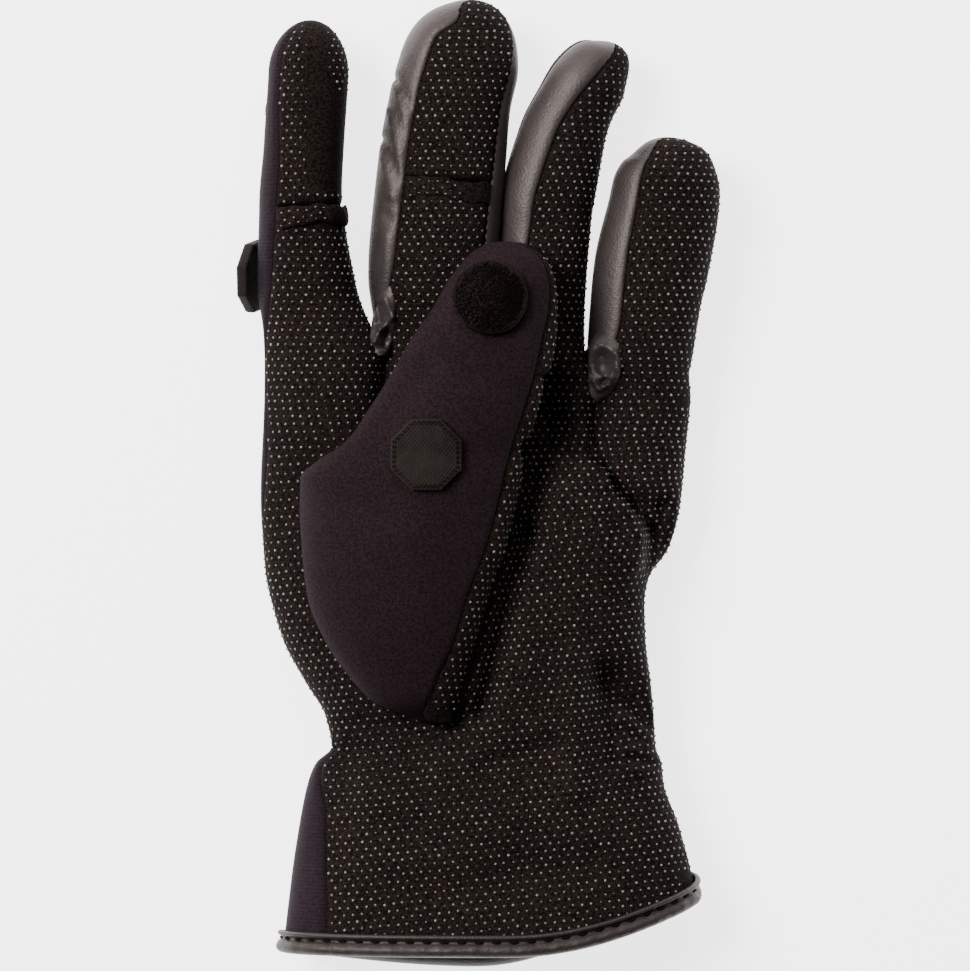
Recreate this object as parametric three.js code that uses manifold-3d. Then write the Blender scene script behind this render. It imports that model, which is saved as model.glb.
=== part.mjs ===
// A left-hand fishing glove lying on its back, palm up. Millimetres, +Z up.
// Fingers point along +Y, the thumb side is -X, and the back of the hand rests on z = 0.
// The glove is one closed skin of finger and palm rings. Each sewn piece is a patch of that
// skin, given its own wall thickness, and neighbours keep a small gap along their seam.
import * as THREE from "three";
import { mergeVertices } from "three/addons/utils/BufferGeometryUtils.js";
import Module from "manifold-3d";

// Walls and clearances
const FABRIC = 1.6;
const NEOPRENE = 2.4;
const LEATHER = 1.2;
const GAP = 0.3;

// Palm, wrist and cuff
const PALM_WIDTH = 110;
const PALM_LENGTH = 102;
const PALM_DEPTH = 27;
const WRIST_WIDTH = 84;
const WRIST_DEPTH = 27;
const CUFF_WIDTH = 107;
const CUFF_LENGTH = 50.2;
const CUFF_DEPTH = 36;
const HEM_SLANT = 15.5;
const BACK_DROP = 4.5;

// Binding folded round the cuff's edge
const BINDING_LAP = 3;
const BINDING_DROP = 2.4;

// Fingers: length from the knuckle line, lean to the little finger's side in degrees
const FINGERS = [
  { name: "index", length: 87, lean: -1.5, width: 21.2, depth: 20.5, lift: 4.8, slit: 0.445, dome: 0.84 },
  { name: "middle", length: 91.1, lean: 5.9, width: 31.6, depth: 24, lift: 3.2, slit: 0.48, dome: 0.8 },
  { name: "ring", length: 86.3, lean: 11.3, width: 24.6, depth: 21.5, lift: 1.2, slit: 0, dome: 0.85 },
  { name: "little", length: 67.7, lean: 5.3, width: 28.6, depth: 23, lift: 0.8, slit: 0, dome: 0.8 },
];

// Rolled hems at the two slits
const HEM_TALL = 5;
const HEM_PROUD = 1.9;

// Thumb, laid across the palm
const THUMB_LENGTH = 124;
const THUMB_WIDTH = 56;
const THUMB_RISE = 17;
const THUMB_EDGE = 3;
const THUMB_LEAF_LIFT = -0.9;
const THUMB_OVER = 0.68;
const THUMB_HOLE_WIDE = 24;
const THUMB_HOLE_LONG = 40;

// Fastening patches
const ROUND_PATCH = 19;
const SMALL_ROUND_PATCH = 16;
const OCTAGON_PATCH = 18;
const PATCH_THICK = 1.6;
const STIFF_PATCH_THICK = 2.6;

// Clearances: a cut edge from its seam line, and a patch or a hem from the cloth below it
const SEAM_INSET = GAP * 0.55;
const LAID_ON = GAP * 1.4;

// Rows along the palm and those of them above the wrist, and columns of a finger's parts
const PALM_ROWS = 18;
const WRIST_ROW = 12;
const ARC = 6;
const SIDE = 3;
const GUSSET_COLUMNS = 2;
const PALM_COLUMNS = ARC * 4;

// How square the finger and thumb sections are, and the share of length over which each blends
// into what it is sewn to
const FINGER_SQUARE = 2.15;
const THUMB_SQUARE = 2.2;
const BASE_BLEND = 0.2;
const PALM_BLEND = 0.3;
const BACK_BLEND = 0.17;

// The middle of the glove's whole length is at the origin
const WRIST_Y = (CUFF_LENGTH + HEM_SLANT / 2 - PALM_LENGTH - FINGERS[1].length) / 2;
const KNUCKLE_Y = WRIST_Y + PALM_LENGTH;
const HEM_Y = WRIST_Y - CUFF_LENGTH;

// Places of the thumb: its root, and in its own widths and lengths the hole and the two patches
const THUMB_ROOT = { x: -0.167 * PALM_WIDTH, y: WRIST_Y + PALM_LENGTH * 0.0645 };
const THUMB_HOLE = { side: -0.046, at: 0.257 };
const THUMB_PATCH = { side: 0.079, at: 0.557 };
const THUMB_TIP_PATCH = { side: 0.37, at: 0.879 };
const THUMB_SEAT = Math.max(PALM_DEPTH, FINGERS[1].depth * 1.03 + FINGERS[1].lift) + THUMB_OVER;

// Places of the patches on the fingers: share of the length, degrees from the top
const FINGER_PATCHES = {
  index: { at: 0.245, angle: -112 },
  indexTip: { at: 0.73, angle: -165 },
  middle: { at: 0.3, angle: 180 },
  middleTip: { at: 0.72, angle: 180 },
};

// Where neighbouring fingers part: x in half palm widths, drop below the knuckle line in palm lengths
const KNUCKLES = [
  { x: -1.053, drop: 0 },
  { x: -0.475, drop: 0.015 },
  { x: 0.089, drop: -0.03 },
  { x: 0.545, drop: 0.11 },
  { x: 1.0, drop: 0.112 },
];
const CROTCH_FRONT = 0.61;
const CROTCH_BACK = 0.28;
const PRESSED_WALL = 0.07;
const PRESSED_REACH = 24;

// Side edges seen from above, in half widths, from the knuckles down to the cuff's edge
const OUTLINE = [
  { y: WRIST_Y + PALM_LENGTH * 1.1, width: PALM_WIDTH, left: -1.05, right: 1.03 },
  { y: WRIST_Y + PALM_LENGTH, width: PALM_WIDTH, left: -1.053, right: 1.016 },
  { y: WRIST_Y + PALM_LENGTH * 0.87, width: PALM_WIDTH, left: -1.049, right: 0.993 },
  { y: WRIST_Y + PALM_LENGTH * 0.75, width: PALM_WIDTH, left: -1.049, right: 0.969 },
  { y: WRIST_Y + PALM_LENGTH * 0.62, width: PALM_WIDTH, left: -1.04, right: 0.942 },
  { y: WRIST_Y + PALM_LENGTH * 0.55, width: PALM_WIDTH, left: -1.033, right: 0.913 },
  { y: WRIST_Y + PALM_LENGTH * 0.5, width: PALM_WIDTH, left: -1.026, right: 0.878 },
  { y: WRIST_Y + PALM_LENGTH * 0.43, width: PALM_WIDTH, left: -1.012, right: 0.79 },
  { y: WRIST_Y + PALM_LENGTH * 0.37, width: PALM_WIDTH, left: -0.988, right: 0.771 },
  { y: WRIST_Y + PALM_LENGTH * 0.27, width: PALM_WIDTH, left: -0.931, right: 0.776 },
  { y: WRIST_Y + PALM_LENGTH * 0.165, width: WRIST_WIDTH, left: -1.084, right: 1.048 },
  { y: WRIST_Y + PALM_LENGTH * 0.08, width: WRIST_WIDTH, left: -0.962, right: 1.067 },
  { y: WRIST_Y, width: WRIST_WIDTH, left: -0.924, right: 1.079 },
  { y: WRIST_Y - CUFF_LENGTH * 0.08, width: CUFF_WIDTH, left: -0.8, right: 0.875 },
  { y: WRIST_Y - CUFF_LENGTH * 0.19, width: CUFF_WIDTH, left: -0.841, right: 0.886 },
  { y: WRIST_Y - CUFF_LENGTH * 0.4, width: CUFF_WIDTH, left: -0.88, right: 0.957 },
  { y: WRIST_Y - CUFF_LENGTH * 0.72, width: CUFF_WIDTH, left: -0.923, right: 1.03 },
  { y: WRIST_Y - CUFF_LENGTH * 1.1, width: CUFF_WIDTH, left: -0.955, right: 1.065 },
].reverse();

// Height of the palm's crown, in its own named depth, and how square the section is
const CROWN = [
  { y: WRIST_Y - CUFF_LENGTH * 1.1, depth: CUFF_DEPTH, high: 1, square: 2.2 },
  { y: WRIST_Y - CUFF_LENGTH * 0.5, depth: CUFF_DEPTH, high: 0.88, square: 2.3 },
  { y: WRIST_Y, depth: WRIST_DEPTH, high: 1, square: 2.4 },
  { y: WRIST_Y + PALM_LENGTH * 0.35, depth: PALM_DEPTH, high: 1.06, square: 2.6 },
  { y: WRIST_Y + PALM_LENGTH * 0.7, depth: PALM_DEPTH, high: 1, square: 2.7 },
  { y: WRIST_Y + PALM_LENGTH * 1.1, depth: PALM_DEPTH, high: 0.96, square: 2.6 },
];
const MIDLINE = 0.42;

// Seams round the palm and cuff, in degrees from the crown, positive to the little finger's side
const PALM_SEAMS = [
  { y: WRIST_Y - CUFF_LENGTH * 1.1, left: -90, right: 112, back: 235, gusset: -51 },
  { y: WRIST_Y - CUFF_LENGTH * 0.35, left: -90, right: 112, back: 237, gusset: -58 },
  { y: WRIST_Y, left: -92, right: 112, back: 262, gusset: -76 },
  { y: WRIST_Y + PALM_LENGTH * 0.3, left: -100, right: 112, back: 240, gusset: -70 },
  { y: WRIST_Y + PALM_LENGTH * 0.52, left: -90, right: 112, back: 250, gusset: -66 },
  { y: WRIST_Y + PALM_LENGTH * 0.75, left: -71, right: 112, back: 260, gusset: -52 },
  { y: WRIST_Y + PALM_LENGTH * 1.1, left: -71, right: 112, back: 260, gusset: -52 },
];

// Fingers along their length: centre line's sway in lengths, breadth in widths
const SWAY = {
  index: [
    { at: 0, side: -0.02, wide: 1.34 },
    { at: 0.15, side: -0.026, wide: 1.24 },
    { at: 0.33, side: -0.038, wide: 1.1 },
    { at: 0.45, side: -0.041, wide: 1.02 },
    { at: 0.63, side: -0.027, wide: 0.98 },
    { at: 0.87, side: -0.006, wide: 0.98 },
    { at: 1, side: 0, wide: 0.96 },
  ],
  middle: [
    { at: 0, side: -0.017, wide: 1.06 },
    { at: 0.13, side: -0.036, wide: 1.05 },
    { at: 0.3, side: -0.048, wide: 1.06 },
    { at: 0.55, side: -0.049, wide: 1.045 },
    { at: 0.7, side: -0.044, wide: 1 },
    { at: 0.82, side: -0.027, wide: 0.98 },
    { at: 1, side: 0, wide: 0.96 },
  ],
  ring: [
    { at: 0, side: -0.015, wide: 1.06 },
    { at: 0.08, side: -0.044, wide: 0.93 },
    { at: 0.2, side: -0.062, wide: 0.93 },
    { at: 0.39, side: -0.09, wide: 0.96 },
    { at: 0.51, side: -0.104, wide: 0.99 },
    { at: 0.69, side: -0.097, wide: 0.92 },
    { at: 0.81, side: -0.073, wide: 0.84 },
    { at: 0.9, side: -0.041, wide: 0.83 },
    { at: 1, side: 0, wide: 0.82 },
  ],
  little: [
    { at: 0, side: -0.007, wide: 0.9 },
    { at: 0.12, side: -0.036, wide: 0.95 },
    { at: 0.36, side: -0.032, wide: 1 },
    { at: 0.52, side: -0.02, wide: 1.04 },
    { at: 0.75, side: 0.005, wide: 1 },
    { at: 0.9, side: 0.009, wide: 0.95 },
    { at: 1, side: 0, wide: 0.94 },
  ],
};

// Seams round each finger, in degrees from the top, positive to the little finger's side
const FINGER_SEAMS = {
  index: [
    { at: 0, frontLeft: -59, frontRight: 108, backRight: 165, backLeft: 301 },
    { at: 0.33, frontLeft: -41, frontRight: 106, backRight: 165, backLeft: 319 },
    { at: 0.5, frontLeft: -33, frontRight: 104, backRight: 162, backLeft: 327 },
    { at: 0.8, frontLeft: -44, frontRight: 104, backRight: 160, backLeft: 316 },
    { at: 1, frontLeft: -42, frontRight: 104, backRight: 150, backLeft: 318 },
  ],
  middle: [
    { at: 0, frontLeft: -50, frontRight: 60, backRight: 125, backLeft: 250 },
    { at: 0.3, frontLeft: -34, frontRight: 46, backRight: 116, backLeft: 255 },
    { at: 0.6, frontLeft: -32, frontRight: 44, backRight: 115, backLeft: 255 },
    { at: 1, frontLeft: -31, frontRight: 44, backRight: 110, backLeft: 260 },
  ],
  ring: [
    { at: 0, frontLeft: -38, frontRight: 100, backRight: 160, backLeft: 262 },
    { at: 0.4, frontLeft: -18, frontRight: 98, backRight: 160, backLeft: 270 },
    { at: 0.7, frontLeft: -7, frontRight: 100, backRight: 160, backLeft: 276 },
    { at: 1, frontLeft: 10, frontRight: 104, backRight: 160, backLeft: 285 },
  ],
  little: [
    { at: 0, frontLeft: -40, frontRight: 112, backRight: 112, backLeft: 258 },
    { at: 0.3, frontLeft: -24, frontRight: 118, backRight: 118, backLeft: 262 },
    { at: 0.75, frontLeft: -29, frontRight: 118, backRight: 118, backLeft: 262 },
    { at: 1, frontLeft: -30, frontRight: 118, backRight: 118, backLeft: 265 },
  ],
};

// Folds of the palm and cuff: ends in half palm widths and palm lengths above the wrist,
// breadth in palm widths, height in palm depths, hollow where it is negative
const FOLDS = [
  { x1: 0.53, y1: 0.7, x2: 0.8, y2: 0.48, breadth: 0.045, height: 0.11 },
  { x1: 0.8, y1: 0.6, x2: 0.84, y2: 0.45, breadth: 0.03, height: -0.16 },
  { x1: 0.3, y1: 0.85, x2: 0.42, y2: 0.72, breadth: 0.05, height: -0.2 },
  { x1: 0.44, y1: 0.22, x2: 0.44, y2: -0.1, breadth: 0.035, height: 0.08 },
  { x1: 0.6, y1: 0.17, x2: 0.74, y2: 0.06, breadth: 0.04, height: -0.16 },
  { x1: 0.68, y1: 0.08, x2: 0.8, y2: 0.0, breadth: 0.02, height: 0.1 },
  { x1: -0.6, y1: 0.02, x2: -0.1, y2: 0.06, breadth: 0.05, height: -0.1 },
  { x1: -0.5, y1: -0.12, x2: 0.1, y2: -0.18, breadth: 0.05, height: 0.06 },
];

// Thumb rows from its root to its tip: edges in thumb widths, rise of the crest in thumb rises,
// the seam between neoprene and dotted fabric in degrees from the crest
const THUMB_ROWS = [
  { at: 0, left: 0.03, right: 0.2, rise: 0.12, seam: -20 },
  { at: 0.045, left: -0.175, right: 0.225, rise: 0.28, seam: 18 },
  { at: 0.1, left: -0.286, right: 0.249, rise: 0.42, seam: 34 },
  { at: 0.17, left: -0.39, right: 0.3, rise: 0.58, seam: 46 },
  { at: 0.26, left: -0.47, right: 0.355, rise: 0.72, seam: 50 },
  { at: 0.36, left: -0.498, right: 0.433, rise: 0.82, seam: 54 },
  { at: 0.45, left: -0.508, right: 0.486, rise: 0.88, seam: 56 },
  { at: 0.51, left: -0.5, right: 0.51, rise: 0.92, seam: 58 },
  { at: 0.545, left: -0.42, right: 0.516, rise: 0.95, seam: 60 },
  { at: 0.58, left: -0.3, right: 0.53, rise: 0.97, seam: 60 },
  { at: 0.65, left: -0.19, right: 0.58, rise: 1, seam: 60 },
  { at: 0.72, left: -0.09, right: 0.62, rise: 1, seam: 60 },
  { at: 0.8, left: 0.014, right: 0.655, rise: 1, seam: 60 },
  { at: 0.86, left: 0.11, right: 0.675, rise: 0.97, seam: 62 },
  { at: 0.91, left: 0.17, right: 0.668, rise: 0.92, seam: 66 },
  { at: 0.95, left: 0.236, right: 0.64, rise: 0.8, seam: 66 },
  { at: 0.98, left: 0.3, right: 0.575, rise: 0.6, seam: 66 },
  { at: 0.995, left: 0.37, right: 0.5, rise: 0.3, seam: 66 },
];
const THUMB_FREE = 0.51;
const THUMB_SLIT = 0.72;

const DEGREE = Math.PI / 180;
const mix = (a, b, share) => a + (b - a) * share;
const smooth = (v) => THREE.MathUtils.smoothstep(v, 0, 1);
const vec = (x, y, z) => new THREE.Vector3(x, y, z);

// A column of a table at a place along its key, on a smooth curve through the rows
function along(rows, key, column, place) {
  const last = rows.length - 1;
  const at = Math.min(rows[last][key], Math.max(rows[0][key], place));
  const slope = (i) => {
    if (i === 0 || i === last) return 0;
    const before = (rows[i][column] - rows[i - 1][column]) / (rows[i][key] - rows[i - 1][key]);
    const after = (rows[i + 1][column] - rows[i][column]) / (rows[i + 1][key] - rows[i][key]);
    return before * after <= 0 ? 0 : (2 * before * after) / (before + after);
  };
  let k = 0;
  while (k < last - 1 && rows[k + 1][key] < at) k++;
  const step = rows[k + 1][key] - rows[k][key];
  const u = (at - rows[k][key]) / step;
  const ends = mix(rows[k][column], rows[k + 1][column], u * u * (3 - 2 * u));
  return ends + step * u * (1 - u) * (slope(k) * (1 - u) - slope(k + 1) * u);
}

const power = (v, n) => Math.sign(v) * Math.abs(v) ** (2 / n);

// Width and crown of the palm or cuff at a height y
function palmSection(y) {
  const row = (column) => along(OUTLINE, "y", column, y);
  const half = row("width") / 2;
  const left = row("left") * half;
  const right = row("right") * half;
  const high = along(CROWN, "y", "depth", y) * along(CROWN, "y", "high", y);
  const square = along(CROWN, "y", "square", y);
  return { centre: (left + right) / 2, half: (right - left) / 2, high, square };
}

// Sum of the folds' heights at a point of the palm
function foldHeight(x, y) {
  let sum = 0;
  for (const fold of FOLDS) {
    const a = new THREE.Vector2((fold.x1 * PALM_WIDTH) / 2, WRIST_Y + fold.y1 * PALM_LENGTH);
    const b = new THREE.Vector2((fold.x2 * PALM_WIDTH) / 2, WRIST_Y + fold.y2 * PALM_LENGTH);
    const p = new THREE.Vector2(x, y);
    const run = b.clone().sub(a);
    const share = THREE.MathUtils.clamp(p.clone().sub(a).dot(run) / run.lengthSq(), 0, 1);
    const away = p.distanceTo(a.addScaledVector(run, share)) / (fold.breadth * PALM_WIDTH);
    sum += fold.height * PALM_DEPTH * Math.exp(-away * away);
  }
  return sum;
}

// The binding needs room below it: the back of the cuff rises from the wrist to the hem
const floorAt = (y) => (LEATHER + GAP) * smooth((WRIST_Y - y) / (CUFF_LENGTH - HEM_SLANT - BINDING_LAP));

// A point of the palm's skin at height y, at an angle from the crown
function palmPoint(y, angle) {
  const s = palmSection(y);
  const across = Math.sin(angle * DEGREE);
  const up = Math.cos(angle * DEGREE);
  const x = s.centre + s.half * power(across, s.square);
  const middle = s.high * MIDLINE;
  const reach = up > 0 ? s.high - middle : middle * 1.25;
  const fold = up > 0 ? foldHeight(x, y) * Math.min(1, up * 2) : 0;
  return vec(x, y, Math.max(floorAt(y), middle + reach * power(up, s.square) + fold));
}

// Height of the palm's front skin above a point
function palmTop(x, y) {
  const s = palmSection(y);
  const share = Math.min(1, Math.abs((x - s.centre) / s.half));
  const up = (1 - share ** s.square) ** (1 / s.square);
  return s.high * (MIDLINE + (1 - MIDLINE) * up) + foldHeight(x, y);
}

const corner = (j, height) =>
  vec((KNUCKLES[j].x * PALM_WIDTH) / 2, KNUCKLE_Y - KNUCKLES[j].drop * PALM_LENGTH, height * PALM_DEPTH);

// Point of a finger's ring at a share of its length and an angle from its top
function fingerPoint(i, at, angle) {
  const f = FINGERS[i];
  const centre = (t) => {
    const root = corner(i, 0).add(corner(i + 1, 0)).multiplyScalar(0.5);
    const ahead = vec(Math.sin(f.lean * DEGREE), Math.cos(f.lean * DEGREE), 0);
    const beside = vec(ahead.y, -ahead.x, 0);
    const sway = along(SWAY[f.name], "at", "side", t) * f.length;
    const lift = GAP + f.depth * 0.53 + f.lift * smooth(t / 0.4);
    return root.addScaledVector(ahead, t * f.length).addScaledVector(beside, sway).setZ(lift);
  };
  const ahead = centre(Math.min(1, at + 0.02)).sub(centre(Math.max(0, at - 0.02))).normalize();
  const beside = vec(ahead.y, -ahead.x, 0).normalize();
  const up = beside.clone().cross(ahead);
  const inDome = Math.max(0, (at - f.dome) / (1 - f.dome));
  const dome = Math.sqrt(Math.max(0, 1 - inDome * inDome));
  const wide = along(SWAY[f.name], "at", "wide", at);
  const half = (f.width / 2) * wide * dome;
  const deep = (f.depth / 2) * mix(1, wide, 0.4) * dome;
  return centre(at)
    .addScaledVector(beside, half * power(Math.sin(angle * DEGREE), FINGER_SQUARE))
    .addScaledVector(up, deep * power(Math.cos(angle * DEGREE), FINGER_SQUARE));
}

const fingerSeam = (i, at, name) => along(FINGER_SEAMS[FINGERS[i].name], "at", name, at);

// Columns of a finger's ring: the front arc, the right side, the back arc and the left side
function fingerColumns(i) {
  const arcs = [
    { from: "frontLeft", to: "frontRight", count: ARC },
    { from: "frontRight", to: "backRight", count: i < 3 ? SIDE : 0 },
    { from: "backRight", to: "backLeft", count: ARC },
    { from: "backLeft", to: "frontLeft", count: i > 0 ? SIDE : 0 },
  ];
  const columns = [];
  arcs.forEach((arc, index) => {
    for (let k = 0; k < arc.count; k++) columns.push({ ...arc, arc: index, share: k / arc.count });
  });
  return columns;
}

function columnAngle(i, at, column) {
  const from = fingerSeam(i, at, column.from);
  const to = fingerSeam(i, at, column.to) + (column.arc === 3 ? 360 : 0);
  return mix(from, to, column.share);
}

// Where a finger's first ring is sewn: its corners lie on the crotches it shares
function baseShift(i, column) {
  const hold = (name) => {
    const outer = (i === 0 && name.endsWith("Left")) || (i === 3 && name.endsWith("Right"));
    if (outer) return vec(0, 0, 0);
    const j = name.endsWith("Left") ? i : i + 1;
    const height = name.startsWith("front") ? CROTCH_FRONT : CROTCH_BACK;
    return corner(j, height).sub(fingerPoint(i, 0, fingerSeam(i, 0, name)));
  };
  if (column.arc % 2 === 0) return hold(column.from).lerp(hold(column.to), column.share);
  const side = column.arc === 1 ? i + 1 : i;
  const front = column.arc === 1 ? column.share : 1 - column.share;
  const web = corner(side, CROTCH_FRONT).lerp(corner(side, CROTCH_BACK), front);
  return web.sub(fingerPoint(i, 0, columnAngle(i, 0, column)));
}

function fingerSkin(i, at, column) {
  const point = fingerPoint(i, at, columnAngle(i, at, column));
  const shift = baseShift(i, column).multiplyScalar(1 - smooth(at / BASE_BLEND));
  point.add(shift);
  point.z = Math.max(0, point.z);
  return point;
}

// Rows of a finger, with one on its slit and the last ones closing the dome
function fingerRows(i) {
  const f = FINGERS[i];
  const body = 8;
  const rows = Array.from({ length: body + 1 }, (_, k) => (f.dome * k) / body);
  if (f.slit) rows[Math.round((f.slit / f.dome) * body)] = f.slit;
  for (const q of [0.42, 0.74, 0.93, 0.99]) rows.push(mix(f.dome, 1, q));
  return rows;
}

// The skin: shared points, and faces gathered for each sewn piece
const skin = { points: [], lookup: new Map(), pieces: {} };

function pointIndex(p) {
  const key = [p.x, p.y, p.z].map((v) => Math.round(v * 1000)).join();
  if (!skin.lookup.has(key)) {
    skin.lookup.set(key, skin.points.length);
    skin.points.push(p);
  }
  return skin.lookup.get(key);
}

function addFace(piece, ...corners) {
  const ids = corners.map(pointIndex);
  const distinct = ids.filter((id, k) => id !== ids[(k + 1) % ids.length]);
  const faces = (skin.pieces[piece] ??= []);
  for (let k = 1; k + 1 < distinct.length; k++) faces.push([distinct[0], distinct[k], distinct[k + 1]]);
}

const FOURCHETTES = ["index_middle_fourchette", "middle_ring_fourchette", "ring_little_fourchette"];

function addFinger(i) {
  const columns = fingerColumns(i);
  const rows = fingerRows(i);
  const grid = rows.map((at) => columns.map((column) => fingerSkin(i, at, column)));
  const slitRow = FINGERS[i].slit ? rows.indexOf(FINGERS[i].slit) : rows.length;
  for (let r = 0; r + 1 < rows.length; r++) {
    columns.forEach((column, c) => {
      const front = r < slitRow ? "palm_panel" : FINGERS[i].name + "_cap";
      const piece = [front, FOURCHETTES[i], "back_panel", FOURCHETTES[i - 1]][column.arc];
      const d = (c + 1) % columns.length;
      addFace(piece, grid[r][c], grid[r][d], grid[r + 1][d], grid[r + 1][c]);
    });
  }
  const last = grid.at(-1);
  const middle = last.reduce((sum, p) => sum.add(p), vec(0, 0, 0)).multiplyScalar(1 / last.length);
  last.forEach((p, c) => addFace("back_panel", p, last[(c + 1) % last.length], middle));
  return grid[0].map((point, c) => ({ point, arc: columns[c].arc }));
}

// Angles that space the columns evenly along the section's outline, between two seams
function spread(y, from, to, count) {
  const samples = 60;
  const lengths = [0];
  let before = palmPoint(y, from);
  for (let k = 1; k <= samples; k++) {
    const next = palmPoint(y, mix(from, to, k / samples));
    lengths.push(lengths[k - 1] + next.distanceTo(before) + GAP * 0.1);
    before = next;
  }
  const whole = lengths[samples];
  const angles = [];
  for (let c = 0; c <= count; c++) {
    const goal = (whole * c) / count;
    let k = 1;
    while (k < samples && lengths[k] < goal) k++;
    const part = (goal - lengths[k - 1]) / (lengths[k] - lengths[k - 1]);
    angles.push(mix(from, to, (k - 1 + part) / samples));
  }
  return angles;
}

// Height of the cuff's edge at a share across the front, from the thumb side, and on the back
function hemHeight(column) {
  const across = column <= PALM_COLUMNS ? column / PALM_COLUMNS : 2 - column / PALM_COLUMNS;
  const back = column > PALM_COLUMNS ? Math.sin(Math.PI * across) : 0;
  return HEM_Y + HEM_SLANT * smooth((across - 0.45) / 0.6) ** 1.2 - BACK_DROP * back;
}

// The palm's ring of skin, row by row, under the joined arcs of the four fingers
function addPalm(bases) {
  const front = bases.flatMap((ring) => ring.filter((p) => p.arc === 0).map((p) => p.point));
  const outer = bases[3].find((p) => p.arc === 2).point;
  const backs = [...bases].reverse().flatMap((ring) => ring.filter((p) => p.arc === 2).map((p) => p.point));
  backs.shift();
  const top = [...front, outer, ...backs];
  const wristShare = (top[0].y - WRIST_Y) / (top[0].y - hemHeight(0));
  const grid = [];
  for (let r = 0; r <= PALM_ROWS; r++) {
    const low = r <= WRIST_ROW ? 0 : (r - WRIST_ROW) / (PALM_ROWS - WRIST_ROW);
    const share = r <= WRIST_ROW ? (wristShare * r) / WRIST_ROW : mix(wristShare, 1, low);
    grid.push(top.map((start, c) => {
      const aim = (at) => {
        const y = mix(start.y, hemHeight(c), at);
        const seam = (name) => along(PALM_SEAMS, "y", name, y);
        if (c <= GUSSET_COLUMNS) return palmPoint(y, mix(seam("left"), seam("gusset"), c / GUSSET_COLUMNS));
        if (c <= PALM_COLUMNS) {
          const angles = spread(y, seam("gusset"), seam("right"), PALM_COLUMNS - GUSSET_COLUMNS);
          return palmPoint(y, angles[c - GUSSET_COLUMNS]);
        }
        const turn = PALM_COLUMNS * 2 - GUSSET_COLUMNS;
        if (c <= turn) {
          const angles = spread(y, seam("right"), seam("back"), PALM_COLUMNS - GUSSET_COLUMNS);
          return palmPoint(y, angles[c - PALM_COLUMNS]);
        }
        return palmPoint(y, mix(seam("back"), seam("left") + 360, (c - turn) / GUSSET_COLUMNS));
      };
      const shift = start.clone().sub(aim(0)).multiplyScalar(1 - smooth(share / PALM_BLEND));
      if (c > PALM_COLUMNS) shift.z = (start.z - aim(0).z) * (1 - smooth(share / BACK_BLEND));
      const point = aim(share).add(shift);
      point.z = Math.max(point.z, floorAt(point.y));
      return point;
    }));
  }
  const count = top.length;
  for (let r = 0; r < PALM_ROWS; r++) {
    for (let c = 0; c < count; c++) {
      const d = (c + 1) % count;
      const beside = c < GUSSET_COLUMNS || c >= count - GUSSET_COLUMNS;
      const plain = c < PALM_COLUMNS ? "palm_panel" : "back_panel";
      const piece = r >= WRIST_ROW && beside ? "cuff_gusset" : plain;
      addFace(piece, grid[r + 1][c], grid[r + 1][d], grid[r][d], grid[r][c]);
    }
  }
  return grid;
}

// Normals of the whole skin, so that sewn neighbours share theirs at a seam
function skinNormals(pieces) {
  const normals = skin.points.map(() => vec(0, 0, 0));
  for (const faces of pieces) {
    for (const [a, b, c] of faces) {
      const p = skin.points[a];
      const cross = skin.points[b].clone().sub(p).cross(skin.points[c].clone().sub(p));
      for (const id of [a, b, c]) normals[id].add(cross);
    }
  }
  return normals.map((n) => n.normalize());
}

// Walls are pressed thin where seams crowd together at a crotch
function fromCrotch(point) {
  const ends = [1, 2, 3].flatMap((j) => [corner(j, CROTCH_FRONT), corner(j, CROTCH_BACK)]);
  return Math.min(...ends.map((end) => end.distanceTo(point)));
}

const pressed = (point) => mix(PRESSED_WALL, 1, smooth(fromCrotch(point) / PRESSED_REACH));

// A sewn piece: its skin faces, the same faces one wall further in, and the cut edges between
function sewn(faces, normals, wall) {
  const open = new Map();
  for (const [a, b, c] of faces) {
    for (const [p, q] of [[a, b], [b, c], [c, a]]) open.set(p + "," + q, [p, q]);
  }
  const edges = [...open.values()].filter(([p, q]) => !open.has(q + "," + p));
  const next = new Map(edges.map(([p, q]) => [p, q]));
  const previous = new Map(edges.map(([p, q]) => [q, p]));
  const used = [...new Set(faces.flat())];
  const place = new Map(used.map((id, k) => [id, k]));
  const outer = used.map((id) => {
    const point = skin.points[id].clone();
    if (!next.has(id)) return point;
    const before = skin.points[id].clone().sub(skin.points[previous.get(id)]).normalize();
    const after = skin.points[next.get(id)].clone().sub(skin.points[id]).normalize();
    const run = before.clone().add(after).normalize();
    const inward = normals[id].clone().cross(run).normalize();
    const sharp = Math.max(0.5, Math.sqrt((1 + before.dot(after)) / 2));
    return point.addScaledVector(inward, SEAM_INSET / sharp);
  });
  const inner = outer.map((p, k) => p.clone().addScaledVector(normals[used[k]], -wall * pressed(p)));
  const size = used.length;
  const index = [];
  for (const face of faces) {
    const [a, b, c] = face.map((id) => place.get(id));
    index.push(a, b, c, a + size, c + size, b + size);
  }
  for (const [p, q] of edges) {
    const [a, b] = [place.get(p), place.get(q)];
    index.push(b, a, a + size, b, a + size, b + size);
  }
  return geometry([...outer, ...inner], index);
}

function geometry(points, index) {
  const made = new THREE.BufferGeometry();
  made.setAttribute("position", new THREE.Float32BufferAttribute(points.flatMap((p) => [p.x, p.y, p.z]), 3));
  made.setIndex(index);
  made.computeVertexNormals();
  return made;
}

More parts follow.
